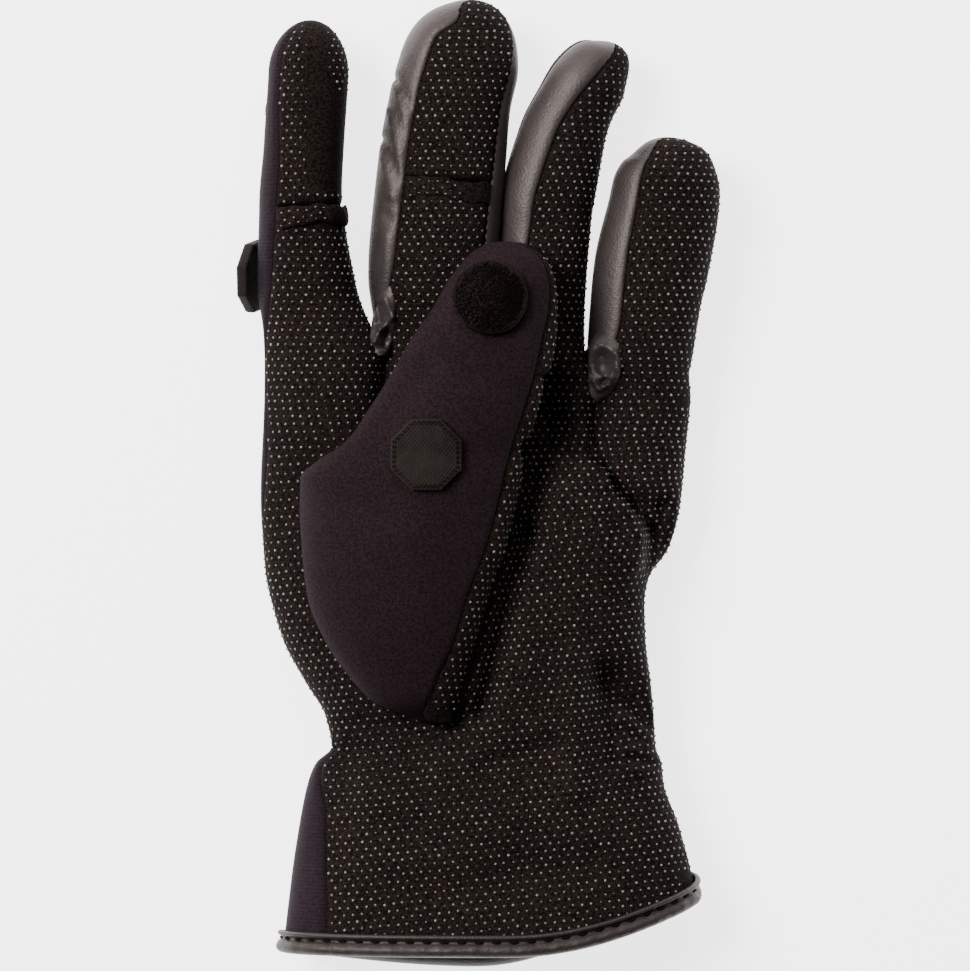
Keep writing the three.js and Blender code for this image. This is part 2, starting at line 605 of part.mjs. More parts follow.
// A closed solid through rings of equal count: looped on itself, or closed at both ends
function through(rings, looped) {
  const count = rings[0].length;
  const points = rings.flat();
  const index = [];
  const steps = looped ? rings.length : rings.length - 1;
  for (let r = 0; r < steps; r++) {
    const a = r * count;
    const b = ((r + 1) % rings.length) * count;
    for (let c = 0; c < count; c++) {
      const d = (c + 1) % count;
      index.push(a + c, a + d, b + d, a + c, b + d, b + c);
    }
  }
  if (!looped) {
    const close = (ring, start, turned) => {
      const middle = ring.reduce((sum, p) => sum.add(p), vec(0, 0, 0)).multiplyScalar(1 / count);
      points.push(middle);
      for (let c = 0; c < count; c++) {
        const pair = turned ? [c, (c + 1) % count] : [(c + 1) % count, c];
        index.push(start + pair[0], start + pair[1], points.length - 1);
      }
    };
    close(rings[0], 0, false);
    close(rings.at(-1), (rings.length - 1) * count, true);
  }
  return geometry(points, index);
}

// Outline of a patch: a circle, or an octagon with its corners
function patchOutline(sides) {
  const count = sides === 8 ? 16 : sides;
  return Array.from({ length: count }, (_, k) => {
    const turn = (k / count) * 2 * Math.PI + Math.PI / 16;
    const across = ((turn % (Math.PI / 4)) + Math.PI / 4) % (Math.PI / 4) - Math.PI / 8;
    const reach = sides === 8 ? 1 / Math.cos(across) : 1;
    return { p: Math.cos(turn) * reach, q: Math.sin(turn) * reach };
  });
}

// A patch laid on a surface: lay(p, q, h) gives the point p across, q along and h above it
function patch(size, thick, sides, lay) {
  const levels = [
    { share: 0.5, h: 0 },
    { share: 1, h: 0 },
    { share: 1, h: thick * 0.75 },
    { share: 0.93, h: thick },
    { share: 0.5, h: thick },
  ];
  const outline = patchOutline(sides);
  const reach = size / 2;
  const ring = (level) =>
    outline.map(({ p, q }) => lay(p * reach * level.share, q * reach * level.share, LAID_ON + level.h));
  return through(levels.map(ring), false);
}

// Patches on a finger follow its skin, or stay flat where they are stiff
function onFinger(i, { at, angle }, stiff) {
  const f = FINGERS[i];
  const point = (t, a) => fingerPoint(i, t, a);
  const normalAt = (t, a) => {
    const run = point(t + 0.01, a).sub(point(t - 0.01, a));
    const round = point(t, a + 2).sub(point(t, a - 2));
    return round.cross(run).normalize();
  };
  const seat = point(at, angle);
  const normal = normalAt(at, angle);
  const ahead = point(at + 0.02, angle).sub(point(at - 0.02, angle)).normalize();
  const beside = ahead.clone().cross(normal).normalize();
  if (stiff) {
    return (p, q, h) =>
      seat.clone().addScaledVector(beside, p).addScaledVector(ahead, q).addScaledVector(normal, h);
  }
  const girth = Math.PI * Math.sqrt((f.width * f.width + f.depth * f.depth) / 2);
  return (p, q, h) => {
    const t = at + q / f.length;
    const a = angle + (p / girth) * 360;
    return point(t, a).addScaledVector(normalAt(t, a), h);
  };
}

// Rolled hem below a slit: a rounded band over the sleeve's front
function slitHem(i) {
  const f = FINGERS[i];
  const from = fingerSeam(i, f.slit, "frontLeft") + 5;
  const to = fingerSeam(i, f.slit, "frontRight") - 5;
  const steps = 10;
  const section = [
    { down: 0.02, out: 0.5 },
    { down: 0.25, out: 1 },
    { down: 0.75, out: 1 },
    { down: 0.98, out: 0.5 },
    { down: 0.96, out: 0 },
    { down: 0.04, out: 0 },
  ];
  const rings = Array.from({ length: steps + 1 }, (_, k) => {
    const angle = mix(from, to, k / steps);
    return section.map(({ down, out }) => {
      const at = f.slit - (down * HEM_TALL) / f.length;
      const lay = onFinger(i, { at, angle }, false);
      return lay(0, 0, LAID_ON + out * (HEM_PROUD - GAP));
    });
  });
  return through(rings, false);
}

// Binding: a channel round the cuff's edge, with a lap outside and inside the wall
function binding(grid) {
  const edge = grid.at(-1);
  const above = grid.at(-2);
  const inside = NEOPRENE + GAP * 2;
  const outside = GAP;
  const skinOut = LEATHER + outside;
  const skinIn = inside + LEATHER;
  const section = [
    { out: skinOut, down: -BINDING_LAP },
    { out: skinOut, down: BINDING_DROP * 0.4 },
    { out: outside * 0.5, down: BINDING_DROP },
    { out: -skinIn * 0.7, down: BINDING_DROP },
    { out: -skinIn, down: BINDING_DROP * 0.5 },
    { out: -skinIn, down: -BINDING_LAP },
    { out: -inside, down: -BINDING_LAP },
    { out: -inside, down: GAP },
    { out: outside, down: GAP },
    { out: outside, down: -BINDING_LAP },
  ];
  const count = edge.length;
  const rings = edge.map((p, c) => {
    const run = edge[(c + 1) % count].clone().sub(edge[(c + count - 1) % count]);
    const down = p.clone().sub(above[c]);
    const out = run.clone().cross(down).negate().normalize();
    down.setX(0).setZ(0).normalize();
    out.addScaledVector(down, -out.dot(down)).normalize();
    return section.map((s) => p.clone().addScaledVector(out, s.out).addScaledVector(down, s.down));
  });
  return through(rings, true);
}

// Thumb: a flattened tube over the palm, its root a leaf sewn down round the thumb hole
const THUMB_ARCS = [
  { name: "thumb_back", from: -110, to: 0, count: 8 },
  { name: "side", from: 0, to: 110, count: 3 },
  { name: "under", from: 110, to: 250, count: 5 },
];

function thumbPoint(at, arc, share) {
  const row = (column) => along(THUMB_ROWS, "at", column, at);
  const y = THUMB_ROOT.y + at * THUMB_LENGTH;
  const left = THUMB_ROOT.x + row("left") * THUMB_WIDTH;
  const right = THUMB_ROOT.x + row("right") * THUMB_WIDTH;
  const free = smooth((at - THUMB_FREE + 0.06) / 0.12);
  const seam = row("seam");
  const from = arc.from || seam;
  const to = arc.to || seam;
  const start = arc.name === "thumb_back" ? mix(-90, from, free) : from;
  const angle = mix(start, to, share) * DEGREE;
  const half = (right - left) / 2;
  const x = (left + right) / 2 + half * power(Math.sin(angle), THUMB_SQUARE);
  const up = power(Math.cos(angle), THUMB_SQUARE);
  const rise = row("rise") * THUMB_RISE;
  const under = mix(THUMB_EDGE, rise * 0.45, free);
  const seat = mix(palmTop(x, y) + THUMB_LEAF_LIFT, THUMB_SEAT, smooth((at - 0.45) / 0.2));
  if (arc.name === "side" && angle > Math.PI / 2) {
    const drop = (angle / DEGREE - 90) / 20;
    const straight = vec(right, y, seat + under * (1 - drop));
    return straight.lerp(vec(x, y, seat + under + under * up), free);
  }
  return vec(x, y, seat + under + (up > 0 ? (rise - under * free) * up : under * up));
}

function addThumb() {
  const rows = THUMB_ROWS.map((row) => row.at);
  const run = (at, arc) =>
    Array.from({ length: arc.count }, (_, k) => thumbPoint(at, arc, k / arc.count));
  const grid = rows.map((at) => THUMB_ARCS.flatMap((arc) => run(at, arc)));
  const arcs = THUMB_ARCS.flatMap((arc) => Array.from({ length: arc.count }, () => arc.name));
  const count = arcs.length;
  for (let r = 0; r + 1 < rows.length; r++) {
    arcs.forEach((name, c) => {
      if (name === "under" && rows[r] < THUMB_FREE) return;
      const front = rows[r] < THUMB_SLIT ? "thumb_front" : "thumb_cap";
      const piece = name === "thumb_back" ? name : front;
      const d = (c + 1) % count;
      addFace(piece, grid[r][c], grid[r][d], grid[r + 1][d], grid[r + 1][c]);
    });
  }
  const last = grid.at(-1);
  const middle = last.reduce((sum, p) => sum.add(p), vec(0, 0, 0)).multiplyScalar(1 / count);
  last.forEach((p, c) => addFace("thumb_back", p, last[(c + 1) % count], middle));
}

// A patch's place on the neoprene back of the thumb, laid over it from above
function onThumb(place) {
  const back = THUMB_ARCS[0];
  const x0 = THUMB_ROOT.x + place.side * THUMB_WIDTH;
  const y0 = THUMB_ROOT.y + place.at * THUMB_LENGTH;
  return (p, q, h) => {
    const at = (y0 + q - THUMB_ROOT.y) / THUMB_LENGTH;
    let low = 0;
    let high = 1;
    for (let k = 0; k < 30; k++) {
      const half = (low + high) / 2;
      if (thumbPoint(at, back, half).x < x0 + p) low = half;
      else high = half;
    }
    const point = thumbPoint(at, back, (low + high) / 2);
    return vec(x0 + p, y0 + q, point.z + h);
  };
}

const wasm = await Module();
wasm.setup();

function solidOf(source) {
  const bare = source.clone();
  bare.deleteAttribute("normal");
  bare.deleteAttribute("uv");
  const merged = mergeVertices(bare, 1e-3);
  const vertProperties = new Float32Array(merged.attributes.position.array);
  const triVerts = new Uint32Array(merged.index.array);
  return new wasm.Manifold(new wasm.Mesh({ numProp: 3, vertProperties, triVerts }));
}

function cutBy(source, cutter) {
  const cut = solidOf(source).subtract(solidOf(cutter)).getMesh();
  const made = new THREE.BufferGeometry();
  made.setAttribute("position", new THREE.Float32BufferAttribute(cut.vertProperties, 3));
  made.setIndex([...cut.triVerts]);
  made.computeVertexNormals();
  return made;
}

function thumbHole() {
  const hole = new THREE.CylinderGeometry(1, 1, PALM_DEPTH, 16);
  hole.rotateX(Math.PI / 2);
  hole.scale(THUMB_HOLE_WIDE / 2, THUMB_HOLE_LONG / 2, 1);
  const x = THUMB_ROOT.x + THUMB_HOLE.side * THUMB_WIDTH;
  return hole.translate(x, THUMB_ROOT.y + THUMB_HOLE.at * THUMB_LENGTH, PALM_DEPTH);
}

const bases = FINGERS.map((_, i) => addFinger(i));
const palmGrid = addPalm(bases);
const gloveNormals = skinNormals(Object.values(skin.pieces));
const glovePieces = Object.keys(skin.pieces);
addThumb();
const thumbPieces = Object.keys(skin.pieces).filter((name) => !glovePieces.includes(name));
const thumbNormals = skinNormals(thumbPieces.map((name) => skin.pieces[name]));

const dotted = new THREE.MeshStandardMaterial({ color: 0x2a2623, roughness: 0.85, metalness: 0 });
const neoprene = new THREE.MeshStandardMaterial({ color: 0x2b222b, roughness: 0.9, metalness: 0 });
const leather = new THREE.MeshStandardMaterial({ color: 0x241f1e, roughness: 0.4, metalness: 0 });
const loop = new THREE.MeshStandardMaterial({ color: 0x120b0a, roughness: 1, metalness: 0 });
const woven = new THREE.MeshStandardMaterial({ color: 0x2a2320, roughness: 0.95, metalness: 0 });

const glove = new THREE.Group();

function addMesh(name, shape, material) {
  const mesh = new THREE.Mesh(shape, material);
  mesh.name = name;
  glove.add(mesh);
}

// Wall and finish of each sewn piece
const CLOTHS = {
  palm_panel: [FABRIC, dotted],
  index_cap: [FABRIC, dotted],
  middle_cap: [FABRIC, dotted],
  thumb_front: [FABRIC, dotted],
  thumb_cap: [FABRIC, dotted],
  back_panel: [NEOPRENE, neoprene],
  cuff_gusset: [NEOPRENE, neoprene],
  thumb_back: [NEOPRENE, neoprene],
  index_middle_fourchette: [LEATHER, leather],
  middle_ring_fourchette: [LEATHER, leather],
  ring_little_fourchette: [LEATHER, leather],
};

for (const [name, [wall, material]] of Object.entries(CLOTHS)) {
  const normals = thumbPieces.includes(name) ? thumbNormals : gloveNormals;
  const shape = sewn(skin.pieces[name], normals, wall);
  addMesh(name, name === "palm_panel" ? cutBy(shape, thumbHole()) : shape, material);
}

addMesh("index_hem", slitHem(0), dotted);
addMesh("middle_hem", slitHem(1), dotted);
addMesh("hem_binding", binding(palmGrid), leather);
addMesh("thumb_tip_patch", patch(ROUND_PATCH, PATCH_THICK, 24, onThumb(THUMB_TIP_PATCH)), loop);
addMesh("thumb_patch", patch(OCTAGON_PATCH, PATCH_THICK, 8, onThumb(THUMB_PATCH)), woven);
const indexSeat = onFinger(0, FINGER_PATCHES.index, true);
addMesh("index_patch", patch(OCTAGON_PATCH, STIFF_PATCH_THICK, 8, indexSeat), woven);
const indexTipSeat = onFinger(0, FINGER_PATCHES.indexTip, false);
addMesh("index_tip_patch", patch(SMALL_ROUND_PATCH, PATCH_THICK, 24, indexTipSeat), loop);
const middleSeat = onFinger(1, FINGER_PATCHES.middle, false);
addMesh("middle_patch", patch(OCTAGON_PATCH, PATCH_THICK, 8, middleSeat), woven);
const middleTipSeat = onFinger(1, FINGER_PATCHES.middleTip, false);
addMesh("middle_tip_patch", patch(ROUND_PATCH, PATCH_THICK, 24, middleTipSeat), loop);

export default glove;
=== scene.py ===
import bpy
import numpy as np
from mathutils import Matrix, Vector


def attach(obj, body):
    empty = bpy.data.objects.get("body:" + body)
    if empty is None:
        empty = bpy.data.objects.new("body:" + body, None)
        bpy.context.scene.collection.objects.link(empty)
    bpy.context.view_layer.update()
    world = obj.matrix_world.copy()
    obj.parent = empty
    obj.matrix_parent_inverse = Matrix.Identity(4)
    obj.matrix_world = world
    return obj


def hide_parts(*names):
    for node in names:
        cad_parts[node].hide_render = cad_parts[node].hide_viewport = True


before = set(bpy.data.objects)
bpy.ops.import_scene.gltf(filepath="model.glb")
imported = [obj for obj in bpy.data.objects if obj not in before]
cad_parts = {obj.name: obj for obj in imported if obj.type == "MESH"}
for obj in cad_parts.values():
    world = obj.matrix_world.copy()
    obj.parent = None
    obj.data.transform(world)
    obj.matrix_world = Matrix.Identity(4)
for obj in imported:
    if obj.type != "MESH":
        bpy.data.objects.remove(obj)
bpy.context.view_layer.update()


# The view: straight down on the palm, fingers up the picture, through a long lens, so that
# the picture's 971 pixels span 251.3 mm at the glove's middle height.
LENS_HEIGHT = 1.6
PICTURE_SPAN = 0.2513
lens = bpy.data.cameras.new("view_from_above")
lens.sensor_width = 36
lens.lens = 36 * (LENS_HEIGHT - 0.015) / PICTURE_SPAN
eye = bpy.data.objects.new("view_from_above", lens)
eye.location = (0.00104, 0.00025, LENS_HEIGHT)
bpy.context.scene.collection.objects.link(eye)
bpy.context.scene.camera = eye


# The floor: a plain pale table top that the back of the hand lies on.
def fill(tree, node, inputs):
    """Gives a node's inputs their values, or links them where the value is another node's output.
    An input is named, or it is numbered n0, n1 or n2."""
    for name, value in inputs.items():
        numbered = name in ("n0", "n1", "n2")
        socket = node.inputs[int(name[1]) if numbered else name.replace("_", " ")]
        if isinstance(value, bpy.types.NodeSocket):
            tree.links.new(value, socket)
        else:
            socket.default_value = value


def new_finish(name, **inputs):
    """A material whose Principled BSDF has the given inputs."""
    finish = bpy.data.materials.new(name)
    finish.use_nodes = True
    fill(finish.node_tree, finish.node_tree.nodes["Principled BSDF"], inputs)
    return finish


FLOOR_HALF = 4.0
FLOOR_DROP = 0.0003
corners = np.array([[-1, -1], [1, -1], [1, 1], [-1, 1]]) * FLOOR_HALF
table_top = bpy.data.meshes.new("table_top")
table_top.from_pydata([(x, y, -FLOOR_DROP) for x, y in corners.tolist()], [], [(0, 1, 2, 3)])
PALE = (0.9, 0.9, 0.9, 1)
table_top.materials.append(
    new_finish("pale_table", Base_Color=PALE, Roughness=0.7, Emission_Color=PALE, Emission_Strength=3.4))
floor = bpy.data.objects.new("table_top", table_top)
bpy.context.scene.collection.objects.link(floor)


# The light: one large soft box high on the thumb side, a weaker one beyond the fingertips,
# and a pale room all round.
def soft_box(name, place, size, power):
    """A square lamp at a place, turned to face the glove."""
    lamp = bpy.data.lights.new(name, "AREA")
    lamp.size = size
    lamp.energy = power
    stand = bpy.data.objects.new(name, lamp)
    stand.location = place
    stand.rotation_euler = (-Vector(place)).to_track_quat("-Z", "Y").to_euler()
    bpy.context.scene.collection.objects.link(stand)


soft_box("thumb_side_box", (-0.85, 0.5, 1.3), 0.7, 54)
soft_box("fingertip_box", (0.1, 1.3, 0.9), 0.8, 12)
room = bpy.data.worlds.new("pale_room")
room.use_nodes = True
room.node_tree.nodes["Background"].inputs["Color"].default_value = (0.92, 0.93, 0.95, 1)
room.node_tree.nodes["Background"].inputs["Strength"].default_value = 0.3
bpy.context.scene.world = room


# Palm panel: one piece of brown-black knit from the cuff to the fingertips, with raised dots
# that grip. It is the front of a closed skin of rings round the palm and round each finger,
# whose seams part it from the neoprene back and the leather sides. Lengths are in millimetres.
WRIST_Y = -67.575
HEM_Y = -117.775
CUFF_LENGTH = 50.2
HEM_SLANT = 15.5
BACK_DROP = 4.5
GAP = 0.3
FABRIC_WALL = 1.6
ARC = 34
SIDE = 12
PALM_COLUMNS = ARC * 4
GUSSET_COLUMNS = 12
WRIST_ROWS = 104
CUFF_ROWS = 44
MIDLINE = 0.42

# Side edges of the palm and cuff above the wrist line, seen from above
OUTLINE = {
    "up": [-55.22, -36.14, -20.08, -9.54, -4.02, 0, 8.16, 16.83, 27.54, 37.74, 43.86, 51, 56.1,
           63.24, 76.5, 88.74, 102, 112.2],
    "left": [-51.1, -49.4, -47.1, -45, -42.8, -38.8, -40.4, -45.5, -51.2, -54.3, -55.7, -56.4,
             -56.8, -57.2, -57.7, -57.7, -57.9, -57.8],
    "right": [57, 55.1, 51.2, 47.4, 46.8, 45.3, 44.8, 44, 42.7, 42.4, 43.5, 48.3, 50.2, 51.8,
              53.3, 54.6, 55.9, 56.7],
}
CROWN = {
    "up": [-55.22, -25.1, 0, 35.7, 71.4, 112.2],
    "high": [36, 31.7, 27, 28.6, 27, 25.9],
    "square": [2.2, 2.3, 2.4, 2.6, 2.7, 2.6],
}
# Seams in degrees from the crown, positive to the little finger's side
PALM_SEAMS = {
    "up": [-55.22, -17.57, 0, 30.6, 53.04, 76.5, 112.2],
    "left": [-90, -90, -92, -100, -90, -71, -71],
    "gusset": [-51, -58, -76, -70, -66, -52, -52],
    "right": [112, 112, 112, 112, 112, 112, 112],
    "back": [235, 237, 262, 240, 250, 260, 260],
}
# Folds: ends, breadth and height, hollow where it is negative
PALM_FOLDS = np.array([
    [24.0, 0.0, 37.0, -20.0, 6.0, 3.6],
    [27.5, 9.2, 35.5, 4.2, 1.5, -2.3],
    [35.5, 4.2, 41.4, -4.6, 1.6, -3.3],
    [41.4, -4.6, 44.2, -11.0, 1.7, -3.7],
    [44.2, -11.0, 43.4, -20.9, 1.7, -3.4],
    [37.0, 9.0, 44.5, 0.0, 2.4, 1.5],
    [18.0, 8.0, 26.0, 6.4, 2.4, 1.0],
    [26.0, 6.4, 33.2, 1.6, 2.3, 1.9],
    [33.2, 1.6, 38.6, -6.0, 2.3, 2.1],
    [38.6, -6.0, 41.0, -12.0, 2.3, 1.9],
    [41.0, -12.0, 40.2, -21.0, 2.3, 1.7],
    [47.2, -5.0, 47.6, -20.7, 2.6, -5.0],
    [16.5, 19.1, 23.1, 5.9, 5.0, -4.2],
    [20.0, 27.0, 11.8, -12.0, 2.6, -3.4],
    [11.8, -12.0, 0.4, -58.0, 2.4, -4.2],
    [24.2, -45.1, 24.2, -77.8, 3.6, 3.4],
    [31.0, -47.0, 35.0, -70.0, 2.6, -2.2],
    [34.5, -50.2, 41.7, -61.0, 4.6, -6.2],
    [37.4, -59.4, 44.0, -65.0, 1.9, 3.4],
    [-33.0, -65.5, -5.5, -61.5, 5.5, -3.2],
    [-27.5, -79.8, 5.5, -85.9, 5.5, 2.2],
    [37.0, -67.5, 51.0, -69.5, 1.5, 1.5],
    [38.0, -70.2, 51.0, -72.2, 1.1, -1.4],
    [40.0, -73.0, 52.0, -75.0, 1.6, 1.4],
    [42.0, -78.0, 53.0, -80.0, 1.9, 1.1],
    [-35.2, -64.3, -21.0, -66.1, 2.2, 1.4],
    [-36.0, -69.7, -16.0, -71.5, 2.4, -1.6],
    [2.0, -72.0, 20.0, -66.0, 3.0, -1.6],
    [20.0, 24.0, 27.0, 12.0, 2.4, 1.2],
    [33.0, 18.0, 36.0, 8.0, 3.4, -1.2],
    [-12.0, -103.0, 28.0, -97.0, 5.0, -1.5],
    [-30.0, -94.0, -8.0, -98.0, 5.5, 1.1],
])
# Where neighbouring fingers part, from the thumb side: x and y of each crotch
CROTCH_X = np.array([-57.915, -26.125, 4.895, 29.975, 55.0])
CROTCH_Y = np.array([34.425, 32.895, 37.485, 23.205, 23.001])
CROTCH_FRONT = 16.47
CROTCH_BACK = 7.56

# Fingers: the centre line's sway and the breadth along the length, in lengths and widths, and
# the seams in degrees from the top
FINGERS = [
    {"length": 87, "lean": -1.5, "width": 21.2, "depth": 20.5, "lift": 4.8, "slit": 0.445, "dome": 0.84,
     "at": [0, 0.15, 0.33, 0.45, 0.63, 0.87, 1],
     "side": [-0.02, -0.026, -0.038, -0.041, -0.027, -0.006, 0],
     "wide": [1.34, 1.24, 1.1, 1.02, 0.98, 0.98, 0.96],
     "seam_at": [0, 0.33, 0.5, 0.8, 1],
     "front_left": [-59, -41, -33, -44, -42], "front_right": [108, 106, 104, 104, 104],
     "back_right": [165, 165, 162, 160, 150], "back_left": [301, 319, 327, 316, 318]},
    {"length": 91.1, "lean": 5.9, "width": 31.6, "depth": 24, "lift": 3.2, "slit": 0.48, "dome": 0.8,
     "at": [0, 0.13, 0.3, 0.55, 0.7, 0.82, 1],
     "side": [-0.017, -0.036, -0.048, -0.049, -0.044, -0.027, 0],
     "wide": [1.06, 1.05, 1.06, 1.045, 1, 0.98, 0.96],
     "seam_at": [0, 0.3, 0.6, 0.86, 0.93, 1],
     "front_left": [-50, -34, -32, -30, -16, -31], "front_right": [60, 52, 56, 62, 78, 88],
     "back_right": [125, 118, 117, 114, 114, 114], "back_left": [250, 255, 255, 258, 260, 260]},
    {"length": 86.3, "lean": 11.3, "width": 24.6, "depth": 21.5, "lift": 1.2, "slit": 0, "dome": 0.85,
     "at": [0, 0.08, 0.2, 0.39, 0.51, 0.69, 0.81, 0.9, 1],
     "side": [-0.015, -0.044, -0.062, -0.09, -0.104, -0.097, -0.073, -0.041, 0],
     "wide": [1.06, 0.93, 0.93, 0.96, 0.99, 0.92, 0.84, 0.83, 0.82],
     "seam_at": [0, 0.4, 0.7, 1],
     "front_left": [-38, -18, -7, 10], "front_right": [100, 98, 100, 104],
     "back_right": [160, 160, 160, 160], "back_left": [262, 270, 276, 285]},
    {"length": 67.7, "lean": 5.3, "width": 28.6, "depth": 23, "lift": 0.8, "slit": 0, "dome": 0.8,
     "at": [0, 0.12, 0.36, 0.52, 0.75, 0.9, 1],
     "side": [-0.007, -0.036, -0.032, -0.02, 0.005, 0.009, 0],
     "wide": [0.9, 0.95, 1, 1.04, 1, 0.95, 0.94],
     "seam_at": [0, 0.3, 0.75, 1],
     "front_left": [-40, -24, -29, -30], "front_right": [112, 118, 118, 118],
     "back_right": [112, 118, 118, 118], "back_left": [258, 262, 262, 265]},
]
FINGER_SQUARE = 2.15
FINGER_ROWS = 84


def along(place, keys, values):
    """Value of a table at a place: a cubic through its rows, whose slope at a row is the
    harmonic mean of the slopes on its two sides, and level at the ends and at a peak."""
    keys, values = np.asarray(keys, float), np.asarray(values, float)
    rise = np.diff(values) / np.diff(keys)
    both = rise[:-1] * rise[1:]
    slope = np.zeros(len(keys))
    slope[1:-1] = np.where(both > 0, 2 * both / np.where(both > 0, rise[:-1] + rise[1:], 1), 0)
    place = np.clip(place, keys[0], keys[-1])
    k = np.clip(np.searchsorted(keys, place) - 1, 0, len(keys) - 2)
    step = keys[k + 1] - keys[k]
    u = (place - keys[k]) / step
    ends = values[k] + (values[k + 1] - values[k]) * u * u * (3 - 2 * u)
    return ends + step * u * (1 - u) * (slope[k] * (1 - u) - slope[k + 1] * u)


def ease(v):
    """Smooth step from 0 to 1: three squares less two cubes."""
    v = np.clip(v, 0, 1)
    return v * v * (3 - 2 * v)


def power(v, n):
    """Signed power of a sine or cosine, which makes a circle a squarer ring."""
    return np.sign(v) * np.abs(v) ** (2 / n)


def unit(v):
    """Vectors of length one."""
    return v / np.maximum(np.linalg.norm(v, axis=-1, keepdims=True), 1e-9)


def folds(x, y, table):
    """Sum of the folds' heights: each is a bell across the straight line between its ends."""
    total = np.zeros(np.broadcast(x, y).shape)
    for x1, y1, x2, y2, breadth, height in table:
        run = np.array([x2 - x1, y2 - y1])
        share = np.clip(((x - x1) * run[0] + (y - y1) * run[1]) / (run @ run), 0, 1)
        away = np.hypot(x - x1 - share * run[0], y - y1 - share * run[1]) / breadth
        total = total + height * np.exp(-away * away)
    return total


def palm_section(y):
    """Centre, half breadth, crown height and squareness of the palm's ring at y."""
    up = y - WRIST_Y
    left, right = along(up, OUTLINE["up"], OUTLINE["left"]), along(up, OUTLINE["up"], OUTLINE["right"])
    high, square = along(up, CROWN["up"], CROWN["high"]), along(up, CROWN["up"], CROWN["square"])
    return (left + right) / 2, (right - left) / 2, high, square


def floor_under(y):
    """Room below the cuff for the binding: it rises smoothly from the wrist to the hem."""
    return 1.5 * ease((WRIST_Y - y) / (CUFF_LENGTH - HEM_SLANT - 3))


def palm_point(y, degrees):
    """Superellipse round the palm: its upper half reaches the crown, its lower half is cut
    flat on the table, and the folds are added to the upper half."""
    centre, half, high, square = palm_section(y)
    across, up = np.sin(np.radians(degrees)), np.cos(np.radians(degrees))
    x = centre + half * power(across, square)
    middle = high * MIDLINE
    reach = np.where(up > 0, high - middle, middle * 1.25)
    fold = np.where(up > 0, folds(x, y, PALM_FOLDS) * np.minimum(1, up * 2), 0)
    z = np.maximum(floor_under(y), middle + reach * power(up, square) + fold)
    return np.stack(np.broadcast_arrays(x, y, z), -1)


def palm_top(x, y):
    """Height of the palm's front at a point seen from above."""
    centre, half, high, square = palm_section(y)
    share = np.minimum(1, np.abs((x - centre) / half))
    up = (1 - share ** square) ** (1 / square)
    return high * (MIDLINE + (1 - MIDLINE) * up) + folds(x, y, PALM_FOLDS)


def crotch(j, height):
    """Point of the skin between finger j - 1 and finger j."""
    return np.array([CROTCH_X[j], CROTCH_Y[j], height])


def finger_point(i, at, degrees):
    """Ring of a finger: a superellipse square to a centre line that leans, sways and lifts,
    drawn in to a point over the dome as a quarter of an ellipse."""
    f = FINGERS[i]
    lean = np.radians(f["lean"])
    ahead = np.array([np.sin(lean), np.cos(lean), 0])
    beside = np.array([ahead[1], -ahead[0], 0])
    root = (crotch(i, 0) + crotch(i + 1, 0)) / 2

    def centre(t):
        t = np.clip(t, 0, 1)[..., None]
        line = root + ahead * t * f["length"] + beside * along(t, f["at"], f["side"]) * f["length"]
        line[..., 2] = GAP + f["depth"] * 0.53 + f["lift"] * ease(t[..., 0] / 0.4)
        return line

    at, degrees = np.broadcast_arrays(np.asarray(at, float), np.asarray(degrees, float))
    sway = ease(at / 0.3)[..., None]
    run = unit(unit(centre(at + 0.02) - centre(at - 0.02)) * sway + ahead * (1 - sway))
    right = unit(np.stack([run[..., 1], -run[..., 0], 0 * run[..., 0]], -1))
    up = np.cross(right, run)
    inside = np.clip((at - f["dome"]) / (1 - f["dome"]), 0, 1)
    dome = np.sqrt(1 - inside * inside)
    wide = along(at, f["at"], f["wide"])
    half = f["width"] / 2 * wide * dome * power(np.sin(np.radians(degrees)), FINGER_SQUARE)
    deep = f["depth"] / 2 * (0.6 + 0.4 * wide) * dome * power(np.cos(np.radians(degrees)), FINGER_SQUARE)
    return centre(at) + right * half[..., None] + up * deep[..., None]


def finger_seams(i, at):
    """Angles of the four seams at a place, and of the seam that follows each of them."""
    f = FINGERS[i]
    names = ("front_left", "front_right", "back_right", "back_left")
    starts = np.stack([along(at, f["seam_at"], f[name]) for name in names], -1)
    ends = np.concatenate([starts[..., 1:], starts[..., :1] + 360], -1)
    return starts, ends


